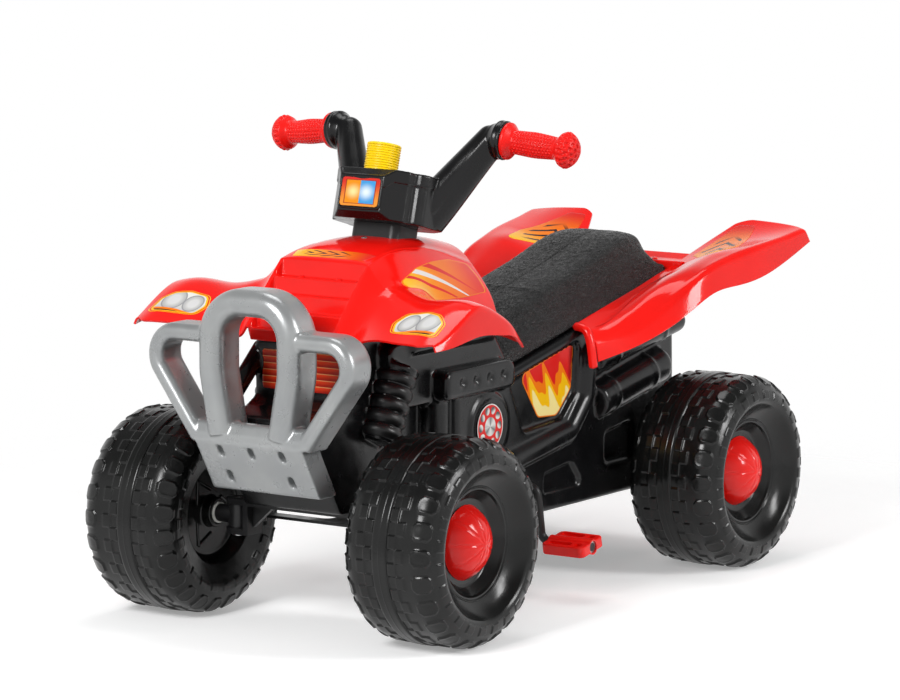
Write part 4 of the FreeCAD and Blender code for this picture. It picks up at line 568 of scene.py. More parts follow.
class Graph:
    """Nodes of one material or world, with short ways to add and join them."""

    def __init__(self, owner: Any, shader: str = "Principled BSDF") -> None:
        """Start with the shader and the output that a new material or world has.

        Args:
            owner: The new material or world.
            shader: Name of its shader node.
        """
        owner.use_nodes = True
        self.owner = owner
        self.tree = owner.node_tree
        self.shader = self.tree.nodes[shader]

    def feed(self, socket: Any, value: Any) -> None:
        """Link a socket, or set it.

        Args:
            socket: Input of a node.
            value: A term or an output to link, or a number or a colour to set.
        """
        if isinstance(value, Term):
            value = value.socket
        if isinstance(value, bpy.types.NodeSocket):
            self.tree.links.new(value, socket)
        elif isinstance(value, tuple) and len(value) == 3 and socket.type == "RGBA":
            socket.default_value = (*value, 1.0)
        else:
            socket.default_value = value

    def node(self, kind: str, inputs: dict[Any, Any], **settings: Any) -> bpy.types.Node:
        """Add a node.

        Args:
            kind: Type of the node.
            inputs: What its inputs get, by name or number.
            settings: Its settings by name.

        Returns:
            The node.
        """
        made = self.tree.nodes.new(kind)
        for key, value in settings.items():
            setattr(made, key, value)
        for key, value in inputs.items():
            self.feed(made.inputs[key], value)
        return made

    def term(self, kind: str, inputs: dict[Any, Any], output: Any = 0, **settings: Any) -> Term:
        """One output of a new node."""
        return Term(self, self.node(kind, inputs, **settings).outputs[output])

    def calc(self, operation: str, *values: Any) -> Term:
        """Result of one operation on numbers or terms."""
        return self.term("ShaderNodeMath", dict(enumerate(values)), operation=operation)

    def ramp(self, value: Any, low: float, high: float, start: float = 0.0, end: float = 1.0) -> Term:
        """Smooth change from start to end while a value goes from low to high."""
        inputs = {"Value": value, "From Min": low, "From Max": high, "To Min": start, "To Max": end}
        return self.term("ShaderNodeMapRange", inputs, interpolation_type="SMOOTHSTEP")

    def blend(self, share: Any, first: Any, second: Any) -> Term:
        """Colour between two colours."""
        return self.term("ShaderNodeMix", {0: share, 6: first, 7: second}, 2, data_type="RGBA")

    def place(self) -> Term:
        """Object coordinates, which are the bike's metres."""
        return self.term("ShaderNodeTexCoord", {}, "Object")

    def noise(self, scale: float, detail: float = 3.0, rough: float = 0.55) -> Term:
        """Cloudy value with a given number of lumps in a metre."""
        inputs = {"Vector": self.place(), "Scale": scale, "Detail": detail, "Roughness": rough}
        return self.term("ShaderNodeTexNoise", inputs, "Fac")

    def cells(self, size: float, feature: str = "F1") -> Term:
        """Distance pattern of scattered cells of a given size in millimetres."""
        inputs = {"Vector": self.place(), "Scale": 1.0 / (size * MM)}
        return self.term("ShaderNodeTexVoronoi", inputs, "Distance", feature=feature)

    def seen(self) -> Term:
        """1 for rays that come from the camera, a reflection or a clear piece, 0 for the others."""
        rays = self.node("ShaderNodeLightPath", {}).outputs
        direct = self.calc("MAXIMUM", rays["Is Camera Ray"], rays["Is Glossy Ray"])
        return self.calc("MAXIMUM", direct, rays["Is Transmission Ray"])

    def relief(self, height: Term, depth: float) -> None:
        """Use a height as relief of the surface, with its depth in millimetres."""
        inputs = {"Height": height, "Distance": depth * MM, "Strength": 1.0}
        self.surface(Normal=self.term("ShaderNodeBump", inputs))

    def surface(self, **values: Any) -> None:
        """Set inputs of the shader by name, with underscores for spaces."""
        for key, value in values.items():
            self.feed(self.shader.inputs[key.replace("_", " ")], value)


# Finishes


class Finish(Protocol):
    """Anything that builds a material."""

    def material(self) -> bpy.types.Material:
        """Build the material."""


@dataclass(frozen=True)
class Moulded:
    """Moulded plastic: soft clouds in its colour and gloss, and a fine skin from the mould.

    The colour and the gloss have so many clouds in a metre, and the relief is grain over a slow wave.
    """

    slot: str
    colour: Colour
    deep: Colour
    rough: tuple[float, float]
    grain: float
    depth: float
    level: float
    metal: float = 0.0
    colour_clouds: float = 14.0
    gloss_clouds: float = 40.0
    waves: float = 28.0
    wave_height: float = 6.0

    def material(self) -> bpy.types.Material:
        """Build the material.

        Returns:
            A shader with clouds between two colours and two roughnesses, and grain in its relief.
        """
        graph = Graph(bpy.data.materials.new(self.slot))
        cloud = graph.ramp(graph.noise(self.colour_clouds), 0.3, 0.7)
        graph.surface(
            Base_Color=graph.blend(cloud, self.colour, self.deep),
            Roughness=graph.ramp(graph.noise(self.gloss_clouds, 4.0), 0.3, 0.7, *self.rough),
            Specular_IOR_Level=self.level,
            Metallic=self.metal,
        )
        fine = graph.noise(1.0 / (self.grain * MM), 2.0)
        graph.relief(fine + graph.noise(self.waves, 1.0) * self.wave_height, self.depth)
        return graph.owner


@dataclass(frozen=True)
class GrainedSeat:
    """Coarse leather grain moulded into black plastic, with a shine on the tops of the pebbles."""

    slot: str = "black_seat"
    colour: Colour = (0.008, 0.008, 0.0078)
    # Share of the colour left in the creases between pebbles, as painted shade.
    crease: float = 0.45
    rough: tuple[float, float] = (0.15, 0.36)
    level: float = 0.36
    pebble: float = 3.4
    depth: float = 1.1

    def material(self) -> bpy.types.Material:
        """Build the material.

        Returns:
            A shader with pebbles from cell edges, broken up by noise, and painted shade that darkens the
            creases.
        """
        graph = Graph(bpy.data.materials.new(self.slot))
        edge = graph.ramp(graph.cells(self.pebble, "DISTANCE_TO_EDGE"), 0.02, 0.32)
        lumps = edge + graph.cells(0.45 * self.pebble) * 0.55
        # Painted shade: a darker copy of the colour fills the creases at the cell edges.
        dark = tuple(self.crease * value for value in self.colour)
        graph.surface(
            Base_Color=graph.blend(edge, dark, self.colour),
            Roughness=graph.ramp(graph.noise(600.0, 2.0), 0.3, 0.75, *self.rough),
            Specular_IOR_Level=self.level,
        )
        graph.relief(lumps + graph.noise(420.0, 4.0, 0.65) * 0.9, self.depth)
        return graph.owner


@dataclass(frozen=True)
class PlatedSteel:
    """Plated steel of axles, pins, nuts and the chain, with faint drawing marks."""

    slot: str
    colour: Colour
    dull: float
    rough: tuple[float, float]

    def material(self) -> bpy.types.Material:
        """Build the material.

        Returns:
            A metal shader with a cloudy gloss and very fine scratches.
        """
        graph = Graph(bpy.data.materials.new(self.slot))
        cloud = graph.noise(90.0, 4.0)
        dull = tuple(self.dull * value for value in self.colour)
        graph.surface(
            Base_Color=graph.blend(graph.ramp(cloud, 0.35, 0.7), self.colour, dull),
            Roughness=graph.ramp(cloud, 0.25, 0.75, *self.rough),
            Metallic=1.0,
        )
        graph.relief(graph.noise(1600.0, 2.0), 0.02)
        return graph.owner


YELLOW: Colour = (0.9, 0.5, 0.008)
ORANGE: Colour = (0.86, 0.19, 0.006)
RED: Colour = (0.68, 0.015, 0.012)
DARK: Colour = (0.035, 0.012, 0.01)
PALE: Colour = (0.74, 0.73, 0.7)
GREY: Colour = (0.28, 0.28, 0.29)


@dataclass
class Design:
    """Colours of a label, worked out from its own map (0 to 1 each way) and its rim value (1 at the edge)."""

    graph: Graph
    u: Term
    v: Term
    rim: Term

    def far(self, u0: float, v0: float, stretch: float) -> Term:
        """Distance on the label from a point, with the v way stretched."""
        du, dv = self.u - u0, (self.v - v0) * stretch
        return self.graph.calc("SQRT", du * du + dv * dv)

    def within(self, value: Term, edge: float, soft: float) -> Term:
        """1 where a value is below an edge, fading to 0 over a soft width."""
        return self.graph.ramp(value, edge, edge + soft, 1.0, 0.0)

    def warm(self, orange: float, red: float) -> Term:
        """Fade from yellow to orange, reached at one place, and from another place on to red."""
        fade = self.graph.blend(self.graph.ramp(self.u, 0.0, orange), YELLOW, ORANGE)
        return self.graph.blend(self.graph.ramp(self.u, red, 1.0), fade, RED)

    def edged(self, colour: Term) -> Term:
        """The colour inside a narrow orange edge."""
        return self.graph.blend(self.graph.ramp(self.rim, 0.955, 0.97), colour, ORANGE)

    def lamp(self) -> Term:
        """Lamp glass with two round reflectors in a yellow frame with a dark foot.

        Returns:
            The colour.
        """
        blend, ramp = self.graph.blend, self.graph.ramp
        colour = blend(ramp(self.v, 0.1, 0.8), (0.52, 0.52, 0.5), PALE)
        for u0, size in ((0.3, 0.17), (0.68, 0.2)):
            far = self.far(u0, 0.56, 0.55)
            dish = blend(ramp(far, 0.2 * size, size), (0.7, 0.7, 0.68), (0.42, 0.42, 0.42))
            dish = blend(self.within(far, 0.42 * size, 0.08 * size), dish, (0.62, 0.62, 0.62))
            colour = blend(self.within(far, size, 0.02), colour, dish)
            colour = blend(self.within(abs(far - size), 0.004, 0.012), colour, GREY)
        foot = self.v + abs(self.u - 0.5) * 0.12
        colour = blend(self.within(foot, 0.24, 0.02), colour, ORANGE)
        colour = blend(self.within(foot, 0.16, 0.02), colour, DARK)
        for start, end, paint in ((0.84, 0.86, YELLOW), (0.91, 0.93, RED), (0.965, 0.975, YELLOW)):
            colour = blend(ramp(self.rim, start, end), colour, paint)
        return colour

    def sweep(self) -> Term:
        """Warm fade with three tapering stripes that curve upwards.

        Returns:
            The colour.
        """
        colour = self.warm(0.55, 0.5)
        curve = self.u * self.u * 0.55
        for base, wide, paint in ((0.16, 0.11, RED), (0.38, 0.085, PALE), (0.57, 0.06, RED)):
            inside = (0.98 - self.u) * wide - abs(self.v - (curve + base))
            colour = self.graph.blend(self.graph.ramp(inside, 0.0, 0.014), colour, paint)
        return self.edged(colour)

    def chevron(self) -> Term:
        """Warm fade with a row of slanting bars that point one way.

        Returns:
            The colour.
        """
        arrow = self.u + abs(self.v - 0.5) * 0.5
        bar = self.within(abs(self.graph.calc("FRACT", arrow * 6.0) - 0.5), 0.14, 0.03)
        middle = self.graph.ramp(self.u, 0.12, 0.2) * self.within(self.u, 0.62, 0.16)
        inside = bar * middle * self.within(self.rim, 0.7, 0.06)
        return self.graph.blend(inside, self.warm(0.5, 0.55), DARK)

    def flame(self) -> Term:
        """Tongues of flame that rise from the lower edge, yellow in orange in red.

        Returns:
            The colour.
        """
        lean = self.u + self.v * 0.35
        first = self.graph.calc("SINE", lean * 21.0)
        second = self.graph.calc("SINE", lean * 37.0 + 1.3)
        rise = first * 0.14 + second * 0.07 + 0.62 - self.v
        colour = RED
        for level, paint in ((rise, ORANGE), (rise - 0.17, YELLOW), (rise * 1.25 - 0.46, (0.9, 0.74, 0.3))):
            colour = self.graph.blend(self.graph.ramp(level, -0.012, 0.012), colour, paint)
        return self.edged(colour)

    def bolts(self) -> Term:
        """Round plate with a ring of bright studs on red and a bright middle.

        Returns:
            The colour.
        """
        calc, blend, ramp = self.graph.calc, self.graph.blend, self.graph.ramp
        count, ring = 10.0, 0.36
        far = self.far(0.5, 0.5, 1.0)
        turn = calc("ARCTAN2", self.v - 0.5, self.u - 0.5) * (count / TURN)
        across = (calc("FRACT", turn + 0.5) - 0.5) * (ring * TURN / count)
        along = far - ring
        stud = calc("SQRT", across * across + along * along)
        shine = blend(ramp(across + along, -0.07, 0.07), PALE, (0.1, 0.1, 0.1))
        colour = blend(self.within(stud, 0.078, 0.012), RED, shine)
        cone = blend(abs(calc("SINE", turn + 0.8)), (0.16, 0.16, 0.16), PALE)
        colour = blend(self.within(far, 0.2, 0.015), colour, cone)
        return blend(ramp(far, 0.47, 0.48), colour, PALE)

    def ribs(self) -> Term:
        """Shaded level ribs with a pale line on the top of each.

        Returns:
            The colour.
        """
        blend, ramp = self.graph.blend, self.graph.ramp
        wave = self.graph.calc("FRACT", self.v * 6.0)
        colour = blend(ramp(wave, 0.0, 0.85), (0.42, 0.014, 0.008), (0.88, 0.06, 0.014))
        return blend(ramp(wave, 0.84, 0.88) * self.within(wave, 0.93, 0.05), colour, (0.85, 0.5, 0.2))

    def beacon(self) -> Term:
        """Two lit windows, one amber and one blue, in an orange and red frame.

        Returns:
            The colour.
        """
        blend, ramp = self.graph.blend, self.graph.ramp
        amber = blend(ramp(self.far(0.32, 0.5, 0.75), 0.0, 0.26), (0.95, 0.8, 0.35), (0.86, 0.3, 0.01))
        blue = blend(ramp(self.far(0.66, 0.5, 0.75), 0.0, 0.28), (0.8, 0.93, 0.97), (0.06, 0.35, 0.75))
        colour = blend(ramp(self.u, 0.485, 0.5), amber, blue)
        edge = self.graph.calc("MAXIMUM", abs(self.u - 0.5), abs(self.v - 0.5) - 0.02)
        frame = blend(ramp(self.v, 0.1, 0.9), (0.86, 0.32, 0.04), (0.7, 0.03, 0.02))
        colour = blend(ramp(edge, 0.375, 0.385), colour, (0.3, 0.03, 0.02))
        return blend(ramp(edge, 0.395, 0.41), colour, frame)


@dataclass(frozen=True)
class Printed:
    """Glossy printed film with one design."""

    motif: Motif
    rough: tuple[float, float] = (0.16, 0.26)
    level: float = 0.17

    def material(self) -> bpy.types.Material:
        """Build the material.

        Returns:
            A shader whose colour comes from the design.
        """
        graph = Graph(bpy.data.materials.new("print_" + self.motif.value))
        maps = graph.term("ShaderNodeUVMap", {}, uv_map="label")
        u, v = (Term(graph, socket) for socket in graph.node("ShaderNodeSeparateXYZ", {0: maps}).outputs[:2])
        rim = graph.term("ShaderNodeAttribute", {}, "Fac", attribute_name="rim")
        graph.surface(
            Base_Color=getattr(Design(graph, u, v, rim), self.motif.value)(),
            Roughness=graph.ramp(graph.noise(60.0), 0.3, 0.7, *self.rough),
            Specular_IOR_Level=self.level,
        )
        return graph.owner


RED_GLOSS = Moulded("red_gloss", (0.86, 0.009, 0.006), (0.81, 0.008, 0.005), (0.08, 0.15), 1.6, 0.006, 0.3)
RED_GRIP = Moulded("red_grip", (0.86, 0.011, 0.008), (0.78, 0.009, 0.007), (0.26, 0.38), 1.6, 0.01, 0.24)
BLACK_SHELL = Moulded(
    "black_shell", (0.0045, 0.0045, 0.005), (0.0035, 0.0035, 0.0038), (0.17, 0.28), 1.8, 0.008, 0.33)
BLACK_WHEEL = Moulded(
    "black_wheel", (0.0045, 0.0048, 0.0045), (0.0035, 0.0035, 0.0035), (0.17, 0.27), 1.8, 0.008, 0.32)
BLACK_FRAME = Moulded(
    "black_frame", (0.007, 0.007, 0.0075), (0.005, 0.005, 0.005), (0.3, 0.45), 1.6, 0.012, 0.35)
SILVER = Moulded(
    "silver_plastic", (0.36, 0.37, 0.37), (0.31, 0.32, 0.325), (0.26, 0.36), 1.8, 0.006, 0.5, 0.5)
YELLOW_RUBBER = Moulded(
    "yellow_rubber", (0.97, 0.68, 0.004), (0.95, 0.64, 0.004), (0.3, 0.42), 1.6, 0.008, 0.3)
WHITE_NYLON = Moulded("white_nylon", (0.7, 0.7, 0.66), (0.62, 0.62, 0.58), (0.4, 0.55), 1.6, 0.01, 0.45)
BLACK_SCREW = Moulded(
    "black_screw", (0.02, 0.02, 0.02), (0.014, 0.014, 0.014), (0.3, 0.5), 1.2, 0.008, 0.5, 0.6)
ZINC = PlatedSteel("zinc_steel", (0.5, 0.51, 0.52), 0.7, (0.24, 0.42))
SEAT_GRAIN = GrainedSeat()


class Workshop:
    """Keeps each finish's material once and puts pieces on their bodies."""

    def __init__(self, frame: dict[str, Any]) -> None:
        """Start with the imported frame."""
        self.nodes = frame["nodes"]
        self.made: dict[Finish, bpy.types.Material] = {}

    def paint(self, mesh: bpy.types.Mesh, finish: Finish) -> None:
        """Give a mesh a finish, whose material is made on first use.

        Args:
            mesh: The mesh.
            finish: Its finish.
        """
        if finish not in self.made:
            self.made[finish] = finish.material()
        mesh.materials.clear()
        mesh.materials.append(self.made[finish])

    def fit(self, piece: bpy.types.Object, body: str, finish: Finish, *stands_for: str) -> None:
        """Finish a new piece and let it ride on a body.

        Args:
            piece: The new piece, in place.
            body: Body that carries it.
            finish: Its finish.
            stands_for: Solids that it is shown instead of.
        """
        self.paint(piece.data, finish)
        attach(piece, body)
        if stands_for:
            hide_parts(*stands_for)
        getattr(finish, "slot", "panel_print")
        LOG.info("%s on %s: %d faces", piece.name, body, len(piece.data.polygons))


# Wheels


@dataclass
class Wheel:
    """Blow-moulded wheel with its tread, sidewall teeth and inner ribs, and its hub cap.

    A row of blocks is its distance from the tread's middle and its half width. Tread columns are shares of a
    half pitch and tread rows distances from the tread's middle, close together where blocks have their edges.
    """

    name: str
    body: str
    side: Side
    back: float
    bore: float
    centre_x: float = 211.0
    radius: float = 137.0
    half_width: float = 72.4
    shoulder: float = 31.0
    lug: float = 2.6
    tooth: float = 1.4
    pitches: int = 24
    half_pitch: float = 17.0
    band: float = 11.0
    inner_row: tuple[float, float] = (18.6, 6.4)
    outer_row: tuple[float, float] = (29.5, 6.5)
    lug_row: tuple[float, float] = (60.5, 13.3)
    tooth_row: tuple[float, float] = (88.1, 6.1)
    tread_shift: float = -6.0
    tread_reach: float = 103.0
    tread_columns: tuple[float, ...] = (0.0, 0.18, 0.33, 0.4, 0.46, 0.54, 0.6, 0.67, 0.82)
    tread_rows: tuple[float, ...] = (
        0.6, 1.3, 4.0, 8.0, 10.4, 11.0, 11.6, 12.2, 12.8, 15.0, 19.0, 22.4, 23.0, 23.6, 24.4, 25.0, 25.6,
        29.0, 33.0, 35.4, 36.0, 36.6, 40.0, 44.0, 46.5, 47.2, 47.9, 48.9, 50.2, 51.7, 53.4, 57.0, 60.5, 64.0,
        67.6, 69.3, 70.8, 72.1, 73.1, 73.8, 74.5, 78.0, 81.3, 82.0, 82.7, 86.0, 90.0, 93.5, 94.2, 94.9,
        98.0, 101.0)
    hub_face: float = 34.0
    rib_count: int = 3
    rib_radius: float = 2.8
    rib_foot: float = 17.0
    rib_reach: tuple[float, float] = (24.0, 50.0)
    rib_depth: float = 44.6
    cap_radius: float = 49.0
    cap_height: float = 32.0
    cap_wall: float = 2.6
    cap_lip: float = 3.2
    cap_parts: int = 9

    def angles(self) -> Array:
        """Angles of the columns."""
        halves = np.arange(2 * self.pitches)[:, None] + np.array(self.tread_columns)
        return (halves * math.pi / self.pitches).ravel()

    def section(self) -> tuple[Array, Array]:
        """Closed section of the wheel without tread.

        Returns:
            Points (along, radius), and their distances along the section from the tread's middle.
        """
        carcass = self.radius - self.lug
        half, face = self.half_width, self.hub_face
        line = rounded_line([
            (-60, self.bore, 0), (-60, 20, 2), (-45, 20, 3), (-45, 60, 4), (-62, 69.5, 4), (-half, 99.8, 8),
            (-half, carcass, self.shoulder), (half, carcass, self.shoulder), (half, 99.8, 8),
            (57.5, 88.5, 44), (50.8, 75.4, 0.8), (52.2, 74, 0.7), (50, 71.8, 0.8), (50, 69.8, 0.8),
            (46.5, 67.8, 1.5), (face, 57, 6), (face, self.bore, 0), (-60, self.bore, 0),
        ], 2.3)
        along = line_length(line)
        middle = along[np.argmin(np.hypot(line[:, 0] + half - self.shoulder, line[:, 1] - carcass))]
        middle += half - self.shoulder + self.tread_shift
        tread = np.array(self.tread_rows)
        fine = np.concatenate([-tread[::-1], [0.0], tread])
        clear = self.tread_reach + 1.0
        ends = [np.linspace(0.0, middle - clear, 16), np.linspace(middle + clear, along[-1], 14)]
        coarse = np.concatenate([along, *ends])
        coarse = np.unique(np.round(coarse[np.abs(coarse - middle) > self.tread_reach], 1))
        places = np.sort(np.concatenate([coarse, middle + fine]))
        return resample(line, places), places - middle

    def tread(self, away: Array, angle: Array) -> Array:
        """Height of the tread over the carcass.

        Args:
            away: Signed distance along the section from the tread's middle.
            angle: Angle round the wheel.

        Returns:
            Middle band, a meander of squares, cut-cornered shoulder lugs and sidewall teeth, as soft masks.
            Lengths round the wheel are counted in half pitches, so that blocks taper with the radius.
        """
        far = np.abs(away)
        turns = angle * self.pitches / TURN + np.where(away > 0, 0.0, 0.5)
        here = (turns - np.floor(turns) - 0.5) * 2.0 * self.half_pitch
        between = (turns + 0.5 - np.floor(turns + 0.5) - 0.5) * 2.0 * self.half_pitch
        half = 0.5 * self.half_pitch
        rows = ((self.inner_row, here, 1.0), (self.outer_row, between, 1.0), (self.tooth_row, here, 0.9))
        inner, outer, tooth = (
            block_mask(far - row[0], v, row[1], half, 0.2, soft) for row, v, soft in rows)
        place, wide = self.lug_row
        lug = block_mask(far - place, between, wide, 0.654 * self.half_pitch, 5.2, 1.0)
        dent = block_mask(far - place, between, wide - 2.7, 0.48 * self.half_pitch, 4.2, 3.4)
        height = self.lug * (1.0 - smooth(self.band - 0.5, self.band + 0.5, far))
        height = np.maximum(height, 0.68 * self.lug * np.maximum(inner, outer))
        height = np.maximum(height, self.lug * (0.85 * lug - 0.22 * dent))
        height = np.maximum(height, self.tooth * tooth)
        return height + 0.4 * bump_at(away, 0.0, 0.6)

    def turned(self, along: Array, reach: Array, angle: Array) -> Skin:
        """Skin through points given by distance along the axle, distance from it and angle."""
        x = self.side.value * (self.centre_x + along)
        points = in_bike(x, self.back + reach * np.cos(angle), self.radius + reach * np.sin(angle))
        return Skin(points, wrap_columns=True)

    def skin(self) -> Skin:
        """Closed skin of the wheel.

        Returns:
            The section moved out by the tread and turned about the axle.
        """
        section, away = self.section()
        angle = self.angles()
        height = self.tread(away[:, None], angle[None])
        normal = line_normals(section)
        along, reach = section[:, :1] + normal[:, :1] * height, section[:, 1:2] + normal[:, 1:2] * height
        return self.turned(along, reach, angle)

    def rib_skins(self) -> list[Skin]:
        """V-shaped ribs on the inner dish.

        Returns:
            Two round bars for each rib, half sunk into the dish.
        """
        skins = []
        count = 12
        x = self.side.value * (self.centre_x - self.rib_depth)
        for turn in full_turn(self.rib_count):
            for foot in (-self.rib_foot, self.rib_foot):
                y, z = np.linspace(*self.rib_reach, count), np.linspace(foot, 0.0, count)
                across = y * math.cos(turn) - z * math.sin(turn)
                up = y * math.sin(turn) + z * math.cos(turn)
                path = in_bike(x, self.back + across, self.radius + up)
                skins.append(closed_tube(path, np.full(count, self.rib_radius), 16))
        return skins

    def cap_skin(self) -> Skin:
        """Closed hub cap.

        Returns:
            A dome with creases like the parts of an orange and a small boss, a rim and a hollow back.
        """
        wide, tall, seat = self.cap_radius, self.cap_height, self.hub_face + 0.2
        ball = (wide**2 + tall**2) / (2.0 * tall)
        reach = (wide - 0.8) * np.sin(np.linspace(0.0, 0.5 * math.pi, 46))
        dome = np.stack([seat + tall - ball + np.sqrt(ball**2 - reach**2), reach], axis=-1)
        edge = np.array([(seat + 0.6, wide), (seat, wide - 0.4), (seat, wide - self.cap_lip)])
        inner = dome[::-3] * np.array([1.0, (wide - self.cap_lip) / wide]) - np.array([self.cap_wall, 0.0])
        section = np.concatenate([dome, edge, inner[inner[:, 0] > seat + 0.2]])
        angle = full_turn(216)
        share = angle * self.cap_parts / TURN
        off = (share - np.floor(share) - 0.5) * TURN / self.cap_parts
        far = reach[:, None] * np.sin(off)[None] + 0.08 * reach[:, None]
        crease = -0.95 * bump_at(far, 0.0, 1.5) * smooth(3.0, 9.0, reach)[:, None]
        boss = 0.5 * (1.0 - smooth(2.0, 4.5, reach))[:, None]
        relief = np.zeros((len(section), len(angle)))
        relief[: len(dome)] = (crease + boss) * (1.0 - smooth(43.0, 48.0, reach))[:, None]
        return self.turned(section[:, :1] + relief, section[:, 1:2], angle)

    def build(self, shop: Workshop) -> None:
        """Make the wheel with its ribs, and its cap.

        Args:
            shop: Workshop that finishes the pieces.
        """
        wheel = make_piece(f"tyre_{self.name}", [self.skin()], closed=True)
        modify(wheel, "normals", "WEIGHTED_NORMAL")
        shop.fit(wheel, self.body, BLACK_WHEEL, f"wheel_{self.name}")
        ribs = make_piece(f"dish_ribs_{self.name}", self.rib_skins(), closed=True, sharp=60.0)
        shop.fit(ribs, self.body, BLACK_WHEEL)
        cap = make_piece(f"dome_{self.name}", [self.cap_skin()], closed=True, sharp=60.0)
        shop.fit(cap, self.body, RED_GLOSS, f"hub_cap_{self.name}")


# Labels


@dataclass
class Label:
    """Thin printed film on a carrier surface."""

    name: str
    body: str
    motif: Motif
    outline: Corners
    carrier: Carrier
    way: tuple[float, float, float]
    swap: bool = False
    turn_u: bool = False
    lift: float = 0.35
    thick: float = 0.55
    stands_for: tuple[str, ...] = ()

    def skin(self) -> Skin:
        """Skin of the film's upper side.

        Returns:
            Rings of the outline from its middle to its edge, laid on the carrier and lifted off it.
        """
        ring = ring_through(self.outline, 1.8)
        low, high = ring.min(axis=0), ring.max(axis=0)
        middle = (low + high) / 2.0
        share = np.concatenate([np.linspace(0.0, 0.8, 14), np.linspace(0.82, 1.0, 10)])
        flat = middle + share[:, None, None] * (ring - middle)
        u, v = flat[..., 0], flat[..., 1]
        step = 0.6
        one = self.carrier(u + step, v) - self.carrier(u - step, v)
        two = self.carrier(u, v + step) - self.carrier(u, v - step)
        normal = unit(np.cross(one, two))
        normal *= np.where((normal @ np.array(self.way))[..., None] < 0.0, -1.0, 1.0)
        uv = (flat - low) / (high - low)
        uv = uv[..., ::-1] if self.swap else uv
        if self.turn_u:
            uv = np.stack([1.0 - uv[..., 0], uv[..., 1]], axis=-1)
        rim = np.broadcast_to(share[:, None], u.shape)
        points = self.carrier(u, v) + self.lift * normal
        return Skin(points, wrap_columns=True, uv=np.array(uv), rim=np.array(rim)).facing(self.way)

    def build(self, shop: Workshop) -> None:
        """Make the film and give it its thickness downwards.

        Args:
            shop: Workshop that finishes the film.
        """
        piece = make_piece(self.name, [self.skin()])
        thicken(piece, self.thick)
        shop.fit(piece, self.body, Printed(self.motif), *self.stands_for)


def label_pair(shop: Workshop, name: str, motif: Motif, outline: Corners, carrier: Carrier,
               way: tuple[float, float, float], turn_right: bool = False, **options: Any) -> None:
    """Make a label on the left of the chassis and its mirror image on the right.

    Args:
        shop: Workshop that finishes the films.
        name: Start of both names.
        motif: Printed design.
        outline: Outline on the carrier.
        carrier: Surface on the left.
        way: Direction in which the left one looks.
        turn_right: Whether the right one's design is turned round.
        options: Further fields of the labels.
    """
    for side in Side:
        mirror = np.array([side.value, 1.0, 1.0])
        Label(f"{name}_{side.word}", "chassis", motif, outline, lambda u, v, m=mirror: carrier(u, v) * m,
              tuple(mirror * way), turn_u=turn_right and side is Side.RIGHT, **options).build(shop)


# Front cowl


